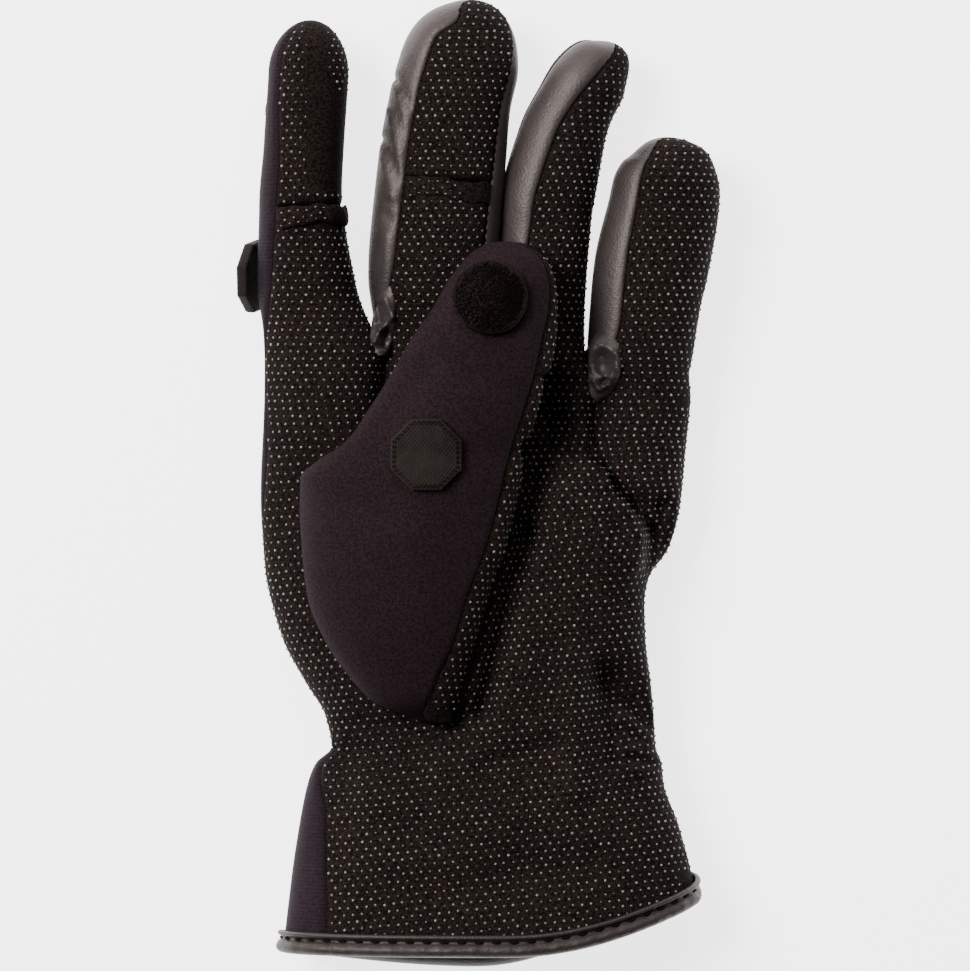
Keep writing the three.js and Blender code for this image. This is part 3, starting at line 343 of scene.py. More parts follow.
def finger_grid(i):
    """Rows of rings from the root to the tip. A ring has four arcs: front, right side, back and
    left side. Over the first fifth the rings bend to the crotches that the finger grows from."""
    f = FINGERS[i]
    counts = [ARC, SIDE if i < 3 else 0, ARC, SIDE if i > 0 else 0]
    arc = np.repeat(np.arange(4), counts)
    even = np.concatenate([np.arange(n) / max(n, 1) for n in counts])
    share = even - 0.07 * np.sin(2 * np.pi * even)
    rows = np.concatenate([np.linspace(0, f["dome"], FINGER_ROWS), f["dome"] + (1 - f["dome"])
                           * np.sin(np.linspace(0, np.pi / 2 * 0.985, 30)[1:])])
    if f["slit"]:
        rows[np.argmin(np.abs(rows - f["slit"]))] = f["slit"]
    starts, ends = finger_seams(i, rows)
    angles = starts[:, arc] + (ends[:, arc] - starts[:, arc]) * share
    grid = finger_point(i, rows[:, None], angles)
    corners = np.stack([crotch(i, CROTCH_FRONT), crotch(i + 1, CROTCH_FRONT),
                        crotch(i + 1, CROTCH_BACK), crotch(i, CROTCH_BACK)])
    hold = corners - finger_point(i, np.zeros(4), starts[0])
    if i == 0:
        hold[[0, 3]] = 0
    if i == 3:
        hold[[1, 2]] = 0
    start, end = hold[arc], hold[(arc + 1) % 4]
    shift = start + (end - start) * share[:, None]
    web = corners[arc] + (corners[(arc + 1) % 4] - corners[arc]) * share[:, None]
    shift = np.where((arc % 2 == 1)[:, None], web - grid[0], shift)
    grid = grid + shift * (1 - ease(rows / 0.2))[:, None, None]
    grid[..., 2] = np.maximum(0, grid[..., 2])
    return rows, arc, grid


def palm_grid(top):
    """Rows of rings from the fingers' roots down to the cuff's edge. Columns lie evenly along
    each ring between the seams, and over the first third they bend to the fingers' rings."""
    columns = np.arange(PALM_COLUMNS * 2)
    turn = PALM_COLUMNS * 2 - GUSSET_COLUMNS
    heights = np.linspace(HEM_Y - 6, 45, 120)
    fine = np.linspace(0, 1, 121)
    table = np.zeros((len(heights), len(columns)))
    for k, y in enumerate(heights):
        seam = {n: float(along(y - WRIST_Y, PALM_SEAMS["up"], PALM_SEAMS[n])) for n in PALM_SEAMS}
        even = np.arange(PALM_COLUMNS - GUSSET_COLUMNS + 1) / (PALM_COLUMNS - GUSSET_COLUMNS)
        for first, a, b in ((GUSSET_COLUMNS, seam["gusset"], seam["right"]),
                            (PALM_COLUMNS, seam["right"], seam["back"])):
            turns = a + (b - a) * fine
            path = palm_point(np.full(121, y), turns)
            length = np.append(0, np.cumsum(np.linalg.norm(np.diff(path, axis=0), axis=1) + 0.03))
            spread = np.interp(even * length[-1], length, turns)
            table[k, first:first + len(even)] = spread[: len(columns) - first]
        low = np.arange(GUSSET_COLUMNS + 1) / GUSSET_COLUMNS
        table[k, : GUSSET_COLUMNS + 1] = seam["left"] + (seam["gusset"] - seam["left"]) * low
        table[k, turn:] = seam["back"] + (seam["left"] + 360 - seam["back"]) * low[:-1]
    across = np.where(columns <= PALM_COLUMNS, columns, 2 * PALM_COLUMNS - columns) / PALM_COLUMNS
    hem = HEM_Y + HEM_SLANT * ease((across - 0.45) / 0.6) ** 1.2
    hem = hem - BACK_DROP * np.where(columns > PALM_COLUMNS, np.sin(np.pi * across), 0)
    wrist = (top[0, 1] - WRIST_Y) / (top[0, 1] - hem[0])
    share = np.concatenate([np.linspace(0, wrist, WRIST_ROWS + 1), np.linspace(wrist, 1, CUFF_ROWS + 1)[1:]])
    y = top[:, 1] + (hem - top[:, 1]) * share[:, None]
    place = np.clip((y - heights[0]) / (heights[1] - heights[0]), 0, len(heights) - 1.001)
    k = place.astype(int)
    angles = table[k, columns] + (table[k + 1, columns] - table[k, columns]) * (place - k)
    grid = palm_point(y, angles)
    bend = np.repeat((1 - ease(share / 0.3))[:, None, None], len(columns), 1) * np.ones(3)
    bend[:, PALM_COLUMNS + 1:, 2] = (1 - ease(share / 0.17))[:, None]
    grid = grid + (top - grid[0]) * bend
    grid[..., 2] = np.maximum(grid[..., 2], floor_under(grid[..., 1]))
    return share, grid


def from_seams(grid, seams):
    """Distance round each closed ring to the nearest of the given columns."""
    step = np.linalg.norm(np.roll(grid, -1, 1) - grid, axis=2)
    run = np.concatenate([np.zeros((len(grid), 1)), np.cumsum(step, 1)], 1)
    away = np.abs(run[:, :-1, None] - run[:, None, seams])
    return np.minimum(away, run[:, -1:, None] - away).min(2)


def groove(away, depth, breadth):
    """A seam's dip: a bell of the distance to it."""
    return -depth * np.exp(-(away / breadth) ** 2)


def ring_faces(rows, columns):
    """Numbers of a grid of points closed round its columns, and the faces between its rows."""
    index = np.arange(rows * columns).reshape(rows, columns)
    after = np.roll(index, -1, 1)
    return index, np.stack([index[:-1], after[:-1], after[1:], index[1:]], -1)


class Skin:
    """Sheets of points laid side by side. Points that meet are made one, so that the pieces cut
    from the skin share their seams and the direction in which their walls are thick."""

    def __init__(self):
        self.points, self.dips, self.walls, self.quads, self.tris, self.size = [], [], [], {}, {}, 0

    def lay(self, grid, dips, walls, pieces, turned):
        """Adds a grid closed round its columns, with the piece that each of its faces is in."""
        index, faces = ring_faces(*grid.shape[:2])
        index, faces = index + self.size, (faces[..., ::-1] if turned else faces) + self.size
        self.add(grid, dips, walls)
        for name in np.unique(pieces[pieces != ""]):
            self.quads.setdefault(name, []).append(faces[pieces == name])
        return index

    def add(self, grid, dips, walls):
        self.points.append(grid.reshape(-1, 3))
        self.dips.append(np.broadcast_to(dips, grid.shape[:-1]).ravel())
        self.walls.append(np.broadcast_to(walls, grid.shape[:-1]).ravel())
        self.size += self.points[-1].shape[0]

    def close(self, ring, pieces):
        """A fan from the last ring to its middle, whose faces are in the given pieces."""
        points = np.concatenate(self.points)[ring]
        self.add(points.mean(0, keepdims=True), 0, 1)
        fan = np.stack([ring, np.roll(ring, -1), np.full(len(ring), self.size - 1)], -1)
        for name in np.unique(pieces):
            self.tris.setdefault(name, []).append(fan[pieces == name])

    def join(self):
        """Makes the points that meet one, works out the skin's directions and dents it."""
        loose, dips, walls = (np.concatenate(v) for v in (self.points, self.dips, self.walls))
        _, first, same = np.unique(np.round(loose * 250), axis=0, return_index=True, return_inverse=True)
        same = same.ravel()
        self.points, self.walls = loose[first], walls[first]
        low = np.full(len(first), np.inf)
        np.minimum.at(low, same, dips)
        self.quads = {n: same[np.concatenate(v)] for n, v in self.quads.items()}
        self.tris = {n: same[np.concatenate(v)] for n, v in self.tris.items()}
        self.same, self.dips = same, low
        self.normals = self.directions(self.points)
        self.points = self.points + self.normals * low[:, None]

    def at(self, index):
        """The dented skin's points and directions, for the numbers of a grid that was laid."""
        return self.points[self.same[index]], self.normals[self.same[index]]

    def directions(self, points):
        """Area-weighted mean of the faces' normals at each point."""
        total = np.zeros_like(points)
        for faces in [*self.quads.values(), *self.tris.values()]:
            p = points[faces]
            flat = np.cross(p[:, 2] - p[:, 0], p[:, -1] - p[:, 1]) if faces.shape[1] == 4 else \
                np.cross(p[:, 1] - p[:, 0], p[:, 2] - p[:, 0])
            for k in range(faces.shape[1]):
                np.add.at(total, faces[:, k], flat)
        return unit(total)


def closed_mesh(name, points, quads, tris=None, cloth=None):
    """A smooth-shaded mesh in metres from points in millimetres, its four-sided faces and its
    three-sided ones, turned inside out if the volume that they close is below nought. cloth is
    each point's place on its flat cloth."""
    tris = np.zeros((0, 3), int) if tris is None else tris
    every = np.concatenate([quads[:, :3], quads[:, [0, 2, 3]], tris])
    p = points[every] - points.mean(0)
    if (p[:, 0] * np.cross(p[:, 1], p[:, 2])).sum() < 0:
        quads, tris = quads[:, ::-1], tris[:, ::-1]
    loops = np.concatenate([quads.ravel(), tris.ravel()]).astype(np.int32)
    shape = bpy.data.meshes.new(name)
    shape.vertices.add(len(points))
    shape.vertices.foreach_set("co", (points * 0.001).astype(np.float32).ravel())
    shape.loops.add(len(loops))
    shape.loops.foreach_set("vertex_index", loops)
    starts = np.concatenate([np.arange(len(quads)) * 4, quads.size + np.arange(len(tris)) * 3])
    shape.polygons.add(len(starts))
    shape.polygons.foreach_set("loop_start", starts.astype(np.int32))
    shape.polygons.foreach_set("use_smooth", np.ones(len(starts), bool))
    if cloth is not None:
        shape.uv_layers.new(name="cloth").data.foreach_set("uv", cloth[loops].astype(np.float32).ravel())
    shape.update(calc_edges=True)
    shape.validate()
    return shape


def place_piece(name, shape, finish, slot, *nodes):
    """Puts a mesh in the scene with its finish, riding on the glove in place of its nodes."""
    shape.materials.append(finish)
    piece = bpy.data.objects.new(name, shape)
    bpy.context.scene.collection.objects.link(piece)
    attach(piece, "root")
    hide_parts(*nodes)
    return piece


INNER_SEAM = 0.01


def cut_cloth(skin, name, wall):
    """A wall of cloth: the piece's faces of the skin, the same faces one wall further in, and the
    cut edge between. It stands back from the seam line outside and closes on it inside, so that
    the seam shows as a groove and lets no light into the glove."""
    quads = skin.quads[name]
    tris = skin.tris.get(name, np.zeros((0, 3), int))
    used, local = np.unique(np.concatenate([quads.ravel(), tris.ravel()]), return_inverse=True)
    local = local.ravel()
    quads, tris = local[: quads.size].reshape(-1, 4), local[quads.size:].reshape(-1, 3)
    points, normals = skin.points[used].copy(), skin.normals[used]
    edges = np.concatenate([quads[:, [k, (k + 1) % 4]] for k in range(4)]
                           + [tris[:, [k, (k + 1) % 3]] for k in range(3)])
    size = len(used)
    rim = edges[~np.isin(edges[:, 0] * size + edges[:, 1], edges[:, 1] * size + edges[:, 0])]
    after, before = np.zeros(size, int), np.zeros(size, int)
    after[rim[:, 0]], before[rim[:, 1]] = rim[:, 1], rim[:, 0]
    k = np.unique(rim[:, 0])
    come, go = unit(points[k] - points[before[k]]), unit(points[after[k]] - points[k])
    inward = unit(np.cross(normals[k], unit(come + go)))
    sharp = np.maximum(0.5, np.sqrt(np.maximum(0, 1 + (come * go).sum(1)) / 2))
    inner = points - normals * (wall * skin.walls[used])[:, None]
    inner[k] += inward * (INNER_SEAM / sharp)[:, None]
    points[k] += inward * (GAP * 0.5 / sharp)[:, None]
    a, b = rim[:, 0], rim[:, 1]
    side = np.stack([b, a, a + size, b + size], -1)
    every = np.concatenate([quads, quads[:, ::-1] + size, side])
    tris = np.concatenate([tris, tris[:, ::-1] + size])
    return closed_mesh(name, np.concatenate([points, inner]), every, tris)


def sew(name, skin, node, wall, finish, slot):
    """Cuts the piece of a skin that stands for a CAD node, and places it."""
    place_piece(name, cut_cloth(skin, node, wall), finish, slot, node)


# Leather creases on the sides of the fingers, seen from above: ends, breadth and height
LEATHER_CREASES = np.array([
    [-21.5, 103.1, -18.4, 91.2, 0.9, 0.77], [-22.5, 105.7, -18.1, 97.4, 0.7, -0.85],
    [-23.3, 96.9, -19.4, 79.3, 0.9, 0.85], [-25.6, 89.7, -20.2, 76.7, 0.8, -0.85],
    [-25.1, 84.5, -22, 74.1, 0.8, 0.68], [-23.3, 75.2, -20.2, 71.6, 0.7, 0.68],
    [-24.6, 70.3, -21, 65.9, 0.8, -0.59], [-24.1, 63.8, -23, 50.9, 1.1, 0.59],
    [-24.8, 48.3, -22.3, 43.6, 0.8, 1.36], [-22.3, 43.6, -26.1, 40.5, 0.8, 1.36],
    [-26.1, 40.5, -28, 37.4, 0.8, 1.19], [-28, 37.4, -24.1, 34.3, 0.8, 1.53],
    [-26.7, 45.2, -24.6, 42.6, 0.7, -1.19], [-24.1, 40.5, -25.1, 36.6, 0.7, -1.36],
    [27.7, 30.7, 28.5, 34.8, 0.7, 1.53], [28.5, 34.8, 31.6, 36.6, 0.7, 1.7],
    [31.6, 36.6, 34.7, 34.8, 0.7, 1.7], [34.7, 34.8, 36, 30.1, 0.7, 1.53],
    [31.3, 32.9, 31.8, 29.9, 1.8, -1.87], [29.5, 26.3, 31.3, 24.5, 0.6, 1.19],
    [33.9, 26.8, 35.5, 24.5, 0.6, 1.19],
])
SEAM_DEPTH = 0.55
SEAM_BREADTH = 0.9
PRESSED_WALL = 0.07
PRESS_REACH = 24
CROTCHES = np.array([crotch(j, h) for j in (1, 2, 3) for h in (CROTCH_FRONT, CROTCH_BACK)])


def clear_of(away, reach):
    """0 on a seam and 1 well beyond the reach."""
    return 1 - np.exp(-(away / reach) ** 2)


def from_crotches(grid):
    """Distance of a grid's points from the nearest crotch between two fingers."""
    return np.linalg.norm(grid[:, :, None] - CROTCHES, axis=3).min(2)


def pressed(near):
    """Share of the wall that is left where pieces press together near a crotch."""
    return PRESSED_WALL + (1 - PRESSED_WALL) * ease(near / PRESS_REACH)


glove = Skin()
finger_rows, finger_grids, finger_index, finger_arcs = [], [], [], []
FOURCHETTES = ["", "index_middle_fourchette", "middle_ring_fourchette", "ring_little_fourchette", ""]
for i in range(4):
    rows, arc, grid = finger_grid(i)
    names = np.array(["palm_panel", FOURCHETTES[i + 1], "back_panel", FOURCHETTES[i]])[arc]
    pieces = np.tile(names, (len(rows) - 1, 1)).astype("U40")
    slit = int(np.argmin(np.abs(rows - FINGERS[i]["slit"]))) if FINGERS[i]["slit"] else len(rows)
    pieces[slit:, arc == 0] = ["index_cap", "middle_cap", "", ""][i]
    seams = np.flatnonzero(np.diff(np.append(arc[-1], arc)))
    away = from_seams(grid, seams)
    fade = ease((1.0 - rows) / 0.06)[:, None]
    dips = groove(away, SEAM_DEPTH, SEAM_BREADTH) * fade
    leather = (arc % 2 == 1) * clear_of(away, 1.6)
    dips = dips + folds(grid[..., 0], grid[..., 1], LEATHER_CREASES) * leather
    if FINGERS[i]["slit"]:
        along_slit = np.abs(rows - FINGERS[i]["slit"])[:, None] * FINGERS[i]["length"]
        part = ease((np.arange(len(arc)) / ARC - 0.3 * i) / 0.12 + 1 - i)
        dips = dips + groove(along_slit, 1.3, 1.0) * (arc == 0) * part * clear_of(away, 2.0)
    index = glove.lay(grid, dips, pressed(from_crotches(grid)), pieces, False)
    glove.close(index[-1], pieces[-1])
    finger_rows.append(rows)
    finger_grids.append(grid)
    finger_arcs.append(arc)
    finger_index.append(index)

fronts = [g[0, a == 0] for g, a in zip(finger_grids, finger_arcs)]
backs = [g[0, a == 2] for g, a in zip(finger_grids[::-1], finger_arcs[::-1])]
palm_share, palm = palm_grid(np.concatenate([*fronts, *backs]))
names = np.where(np.arange(PALM_COLUMNS * 2) < PALM_COLUMNS, "palm_panel", "back_panel").astype("U40")
pieces = np.tile(names, (len(palm_share) - 1, 1))
beside = np.roll(np.arange(PALM_COLUMNS * 2) < GUSSET_COLUMNS * 2, -GUSSET_COLUMNS)
pieces[WRIST_ROWS:, beside] = "cuff_gusset"
THUMB_HOLE = (-20.95, -29.13, 12.0, 20.0)


def off_thumb_hole(points):
    """Square of the distance from the middle of the thumb's hole, with 1 on its edge."""
    return (((points[..., :2] - THUMB_HOLE[:2]) / THUMB_HOLE[2:]) ** 2).sum(-1)


in_hole = off_thumb_hole((palm[:-1] + palm[1:]) / 2) < 1
pieces[in_hole & (pieces == "palm_panel")] = ""
gusset_seams = [GUSSET_COLUMNS, PALM_COLUMNS, PALM_COLUMNS * 2 - GUSSET_COLUMNS]
above = groove(from_seams(palm, [0, PALM_COLUMNS]), SEAM_DEPTH, SEAM_BREADTH)
below = groove(from_seams(palm, gusset_seams), SEAM_DEPTH, SEAM_BREADTH)
low = ease((np.arange(len(palm)) - WRIST_ROWS + 4) / 8)[:, None]
near = from_crotches(palm)
dips = above * (1 - low) + below * low + groove(near, SEAM_DEPTH, 1.6)
palm_index = glove.lay(palm, dips, pressed(near), pieces, True)
glove.join()


def add_node(tree, kind, inputs, **settings):
    """Adds a node with its settings and inputs, and gives its outputs."""
    made = tree.nodes.new("ShaderNode" + kind)
    for name, value in settings.items():
        setattr(made, name, value)
    fill(tree, made, inputs)
    return made.outputs


def reckon(tree, operation, *values):
    """Result of a sum on one, two or three values."""
    return add_node(tree, "Math", {f"n{k}": v for k, v in enumerate(values)}, operation=operation)[0]


def cloudy(tree, place, scale, detail):
    """Noise from 0 to 1, with about one cloud to each 1/scale of a metre."""
    return add_node(tree, "TexNoise", {"Vector": place, "Scale": scale, "Detail": detail})["Fac"]


def spread(tree, value, low, high, to_low=0, to_high=1):
    """A value from low to high, stretched from to_low to to_high and held there beyond them."""
    inputs = {"Value": value, "From Min": low, "From Max": high, "To Min": to_low, "To Max": to_high}
    return add_node(tree, "MapRange", inputs)["Result"]


def blend(tree, share, first, second):
    """A colour that goes from the first to the second with the share."""
    inputs = {"Factor": share, "A": first, "B": second}
    return add_node(tree, "Mix", inputs, data_type="RGBA")["Result"]


def raised(tree, height, strength, distance):
    """Normal of a surface that a height raises by at most the distance, in metres."""
    return add_node(tree, "Bump", {"Strength": strength, "Distance": distance, "Height": height})["Normal"]


def knit_group():
    """Fine knit: rows of ribs across the fingers and columns of stitches along them, as a
    height from 0 to 1 and a mottled mask."""
    made = bpy.data.node_groups.new("fine_knit", "ShaderNodeTree")
    sockets = {"Rib Pitch": "INPUT", "Stitch Share": "INPUT", "Height": "OUTPUT", "Mottle": "OUTPUT"}
    for name, way in sockets.items():
        made.interface.new_socket(name, in_out=way, socket_type="NodeSocketFloat")
    given, out = made.nodes.new("NodeGroupInput").outputs, made.nodes.new("NodeGroupOutput")
    place = add_node(made, "TexCoord", {})["Object"]
    apart = add_node(made, "SeparateXYZ", {"n0": place})

    def wave(axis):
        """Half a sine of one coordinate and a half, one turn to each pitch given in millimetres."""
        turns = reckon(made, "DIVIDE", reckon(made, "MULTIPLY", apart[axis], 6283.2), given["Rib Pitch"])
        return reckon(made, "MULTIPLY_ADD", reckon(made, "SINE", turns), 0.5, 0.5)

    knit = add_node(made, "Mix", {"Factor": given["Stitch Share"], "A": wave("Y"), "B": wave("X")})["Result"]
    height = add_node(made, "Mix", {"Factor": 0.45, "A": knit, "B": cloudy(made, place, 2600, 2)})["Result"]
    fill(made, out, {"Height": height, "Mottle": cloudy(made, place, 70, 5)})
    return made


fine_knit = knit_group()


def knit_finish(name, dark, light, painted_shade_tone, speckle, pitch, stitches, bump, rough, sheen=0.0):
    """Cloth whose colour runs from dark to light with the knit's height, a painted shade that darkens the
    hollows between the ribs, and with a mottled mask of random tone. In wide random patches it leans to
    a third tone, a painted shade standing in for the cloth's uneven shading. Fine noise then scales it by
    up to half of speckle each way."""
    finish = new_finish(name, Roughness=rough, Specular_IOR_Level=0.06,
                        Sheen_Weight=sheen, Sheen_Roughness=0.5)
    tree = finish.node_tree
    place = add_node(tree, "TexCoord", {})["Object"]
    knit = add_node(tree, "Group", {"n0": pitch, "n1": stitches}, node_tree=fine_knit)
    # Painted shade: half of this mask is the knit's height, so the hollows between the ribs are darker; the
    # other half is random mottle.
    tone_mask = add_node(tree, "Mix", {"Factor": 0.5, "A": knit["Height"], "B": knit["Mottle"]})["Result"]
    # Painted shade: wide random patches lean the colour to a third tone that stands in for the cloth's uneven
    # shading.
    patches = reckon(tree, "MULTIPLY", spread(tree, cloudy(tree, place, 85, 3), 0.36, 0.64), 0.45)
    colour = blend(tree, patches, blend(tree, tone_mask, (*dark, 1), (*light, 1)), (*painted_shade_tone, 1))
    grain = spread(tree, cloudy(tree, place, 1500, 3), 0.36, 0.64, 1 - speckle / 2, 1 + speckle / 2)
    speckled_colour = add_node(tree, "VectorMath", {"n0": colour, "Scale": grain}, operation="SCALE")[0]
    normal = raised(tree, knit["Height"], 0.8, bump * 0.001)
    fill(tree, tree.nodes["Principled BSDF"], {"Base Color": speckled_colour, "Normal": normal})
    return finish


grip_cloth = knit_finish("grip_cloth", (0.0006, 0.0003, 0.0002), (0.0125, 0.0083, 0.0064),
                         (0.0088, 0.0044, 0.0038), speckle=1.7, pitch=0.6, stitches=0.5, bump=0.22,
                         rough=0.88)
sew("palm_knit", glove, "palm_panel", FABRIC_WALL, grip_cloth, "grip_fabric")


# Grip dots: small domes of pale rubber printed on the knit in staggered rows. They follow
# the cloth from the cuff to the fingertips, and are left out along the middle and the right of the index cap.
DOT_ACROSS = 2.38
DOT_ALONG = 1.83
DOT_RADIUS = 0.4
DOT_HIGH = 0.24
DOT_SHAKE = 0.15
DOT_SIZES = (0.82, 1.12)


def dome_field(name, places, normals, radius, high):
    """One mesh of many six-sided domes: two rings and a top for each, closed below."""
    shake = np.random.default_rng(len(places))
    places = places + shake.uniform(-DOT_SHAKE, DOT_SHAKE, places.shape) * [1, 1, 0]
    radius = radius * shake.uniform(*DOT_SIZES, len(places))
    turn = np.arange(6) * np.pi / 3
    ring = np.stack([np.cos(turn), np.sin(turn), 0 * turn], -1)
    shape = np.concatenate([ring * [1, 1, 0] + [0, 0, -0.35], ring * 0.8 + [0, 0, 0.62], [[0, 0, 1]]])
    side = unit(np.cross(normals, np.array([0.0, 1.0, 0.13])))
    ahead = np.cross(normals, side)
    radius = np.broadcast_to(radius, len(places))[:, None, None]
    across, along = side[:, None] * shape[:, :1] * radius, ahead[:, None] * shape[:, 1:2] * radius
    rise = normals[:, None] * shape[:, 2:] * high * radius / DOT_RADIUS
    points = places[:, None] + across + along + rise
    index, sides = ring_faces(2, 6)
    start = (np.arange(len(places)) * 13)[:, None, None]
    quads = start + np.concatenate([sides[0], [[0, 3, 2, 1], [0, 5, 4, 3]]])[:, ::-1]
    tris = start + np.stack([np.full(6, 12), np.roll(index[1], -1), index[1]], -1)
    return closed_mesh(name, points.reshape(-1, 3), quads.reshape(-1, 4), tris.reshape(-1, 3))


def run_of(path):
    """Distance along a path to each of its points."""
    return np.append(0, np.cumsum(np.linalg.norm(np.diff(path, axis=0), axis=1)))


def on_path(at, run, values):
    """The values of a path's points, taken at distances along it."""
    return np.stack([np.interp(at, run, values[:, k]) for k in range(3)], -1)


def rows_of_dots(lines, normals, anchors, left_in):
    """Places along each line at whole pitches from its anchor, every other line half a pitch
    on. lines is rows by columns by three; places outside left_in of an end are dropped."""
    places, aims, keys = [], [], []
    for j, (line, normal, anchor) in enumerate(zip(lines, normals, anchors)):
        good = np.isfinite(line[:, 0])
        if good.sum() < 3:
            continue
        line, normal = line[good], normal[good]
        run = run_of(line)
        zero = np.interp(anchor[0], np.flatnonzero(good), run) - anchor[1]
        phase = (j % 2) / 2
        first = np.ceil((left_in - zero) / DOT_ACROSS - phase)
        last = np.floor((run[-1] - left_in - zero) / DOT_ACROSS - phase)
        at = zero + (np.arange(first, last + 1) + phase) * DOT_ACROSS
        places.append(on_path(at, run, line))
        aims.append(on_path(at, run, normal))
        keys.append(np.full(len(at), j))
    return np.concatenate(places), unit(np.concatenate(aims)), np.concatenate(keys)


def level_lines(columns, normals, heights, skew=0):
    """Where each column, a path with rising y plus skew, crosses the given heights."""
    level = columns[..., 1] + skew
    lines = np.full((len(heights), columns.shape[1], 3), np.nan)
    aims = np.zeros_like(lines)
    for c in range(columns.shape[1]):
        rise = np.maximum.accumulate(level[:, c]) + np.arange(len(columns)) * 1e-7
        inside = (heights >= rise[0]) & (heights <= rise[-1])
        for k in range(3):
            lines[inside, c, k] = np.interp(heights[inside], rise, columns[:, c, k])
            aims[inside, c, k] = np.interp(heights[inside], rise, normals[:, c, k])
    return lines, aims


whole_points, whole_aims = glove.at(palm_index[::-1, : PALM_COLUMNS + 1])
heights = HEM_Y + 0.6 + np.arange(-4, 150) * DOT_ALONG
base_height = CROTCH_Y[1:].min() - 1
palm_heights = heights[heights < base_height]
climb = -0.11 * whole_points[..., 0] * ease((base_height - whole_points[..., 1]) / 45)
lines, aims = level_lines(whole_points, whole_aims, palm_heights, climb)
middle_column = PALM_COLUMNS // 2
x_there = np.nan_to_num(lines[:, middle_column, 0], nan=0.0)
dots, dot_aims, _ = rows_of_dots(lines, aims, [(middle_column, x) for x in x_there], left_in=1.0)
dot_groups = {"palm": [(dots, dot_aims)], "cap": []}
last_run = run_of(lines[-1])
BARE_BEYOND_SLIT = 0.9
BARE_BELOW_SLIT = 5.4
for i in range(4):
    strip = palm_index[::-1, i * ARC: (i + 1) * ARC + 1]
    finger = finger_index[i][1:, : ARC + 1]
    column, aim = glove.at(np.concatenate([strip, finger]))
    upper = heights[heights >= base_height]
    lines, aims = level_lines(column, aim, upper)
    crest = ARC // 2
    reach = last_run[i * ARC + crest] - last_run[middle_column] + x_there[-1]
    parity = len(palm_heights) % 2
    if parity:
        lines = np.concatenate([np.full_like(lines[:1], np.nan), lines])
        aims = np.concatenate([aims[:1], aims])
        upper = np.append(upper[0] - DOT_ALONG, upper)
    places, directions, _ = rows_of_dots(lines, aims, [(crest, reach)] * len(lines), left_in=0.9)
    slit = FINGERS[i]["slit"]
    if slit:
        top = finger_grids[i][np.argmin(np.abs(finger_rows[i] - slit)), : ARC + 1]
        slit_y = np.interp(places[:, 0], top[:, 0], top[:, 1])
        cap = places[:, 1] > slit_y + BARE_BEYOND_SLIT
        sleeve = places[:, 1] < slit_y - BARE_BELOW_SLIT
        dot_groups["palm"].append((places[sleeve], directions[sleeve]))
        dot_groups["cap"].append((places[cap], directions[cap]))
    else:
        dot_groups["palm"].append((places, directions))


dot_rubber = new_finish("grip_dot_rubber", Roughness=0.55)
tree = dot_rubber.node_tree
dirt = cloudy(tree, add_node(tree, "TexCoord", {})["Object"], 520, 3)
grey = blend(tree, spread(tree, dirt, 0.36, 0.68), (0.008, 0.0066, 0.0058, 1), (0.165, 0.148, 0.138, 1))
fill(tree, tree.nodes["Principled BSDF"], {"Base Color": grey})


def dot_share_left(places):
    """How much of each dot is left: none along the middle and the right of the index cap, and
    about half on the ring finger's tip."""
    x, y = places[:, 0], places[:, 1]
    index_cap = np.exp(-((x + 42.0 + (y - 101) * 0.02) / 3.1) ** 2) * ((y > 75) & (x < -25))
    index_right = (x > -39.6) & (x < -30) & (y > 76) & (y < 103.5 + 3 * np.sin(x * 9))
    ring_tip = np.exp(-(np.hypot(x - 36.5, y - 109) / 5.5) ** 4)
    return 1 - np.clip(index_cap * 1.5, 0, 1) - 0.45 * ring_tip - index_right


LEAST_LEFT = 0.3
BARE_ROUND_HOLE = 1.1
HOLE_LOWEST = 15
BARE_ABOVE_HEM = 2.9
for group, nodes in (("palm", ["palm_panel"]), ("cap", ["index_cap", "middle_cap"])):
    places = np.concatenate([p for p, _ in dot_groups[group]])
    directions = np.concatenate([d for _, d in dot_groups[group]])
    left = dot_share_left(places)
    covered = (off_thumb_hole(places) > BARE_ROUND_HOLE) | (places[:, 2] < HOLE_LOWEST)
    keep = (left > LEAST_LEFT) & covered
    if group == "palm":
        edge = np.interp(places[:, 0], palm[-1, : PALM_COLUMNS + 1, 0], palm[-1, : PALM_COLUMNS + 1, 1])
        keep &= places[:, 1] > edge + BARE_ABOVE_HEM
        seam = palm[WRIST_ROWS:, GUSSET_COLUMNS]
        seam_x = np.interp(places[:, 1], seam[::-1, 1], seam[::-1, 0])
        keep &= (places[:, 1] > WRIST_Y) | (places[:, 0] > seam_x + 1)
    radius = DOT_RADIUS * np.sqrt(left[keep])
    field = dome_field(group + "_dots", places[keep], directions[keep], radius, DOT_HIGH)
    place_piece(group + "_dots", field, dot_rubber, "grip_fabric", *nodes)


# Caps: the same dotted knit beyond the slits of the index and middle fingers. On the glove they
# fold back off the fingertips; here they lie in place over them.
for name in ("index_cap", "middle_cap"):
    sew(name + "_knit", glove, name, FABRIC_WALL, grip_cloth, "grip_fabric")


# Back and cuff gusset: purple-black neoprene faced with fine ribbed jersey. The back wraps
# round the thumb side of the index finger, and the gusset is let into the cuff below the thumb.
NEOPRENE_WALL = 2.4
ribbed_jersey = knit_finish("ribbed_jersey", (0.0045, 0.0018, 0.0034), (0.0165, 0.0088, 0.0132),
                            (0.0105, 0.0053, 0.0083), speckle=0.7, pitch=0.95, stitches=0.12, bump=0.14,
                            rough=0.78, sheen=0.02)
sew("back_jersey", glove, "back_panel", NEOPRENE_WALL, ribbed_jersey, "neoprene")
sew("gusset_jersey", glove, "cuff_gusset", NEOPRENE_WALL, ribbed_jersey, "neoprene")


# Leather sides of the fingers: thin soft hide let in between the front and the back, one
# strip for two neighbouring fingers, creased where the fingers bend and puckered at the crotch.
LEATHER_WALL = 1.2


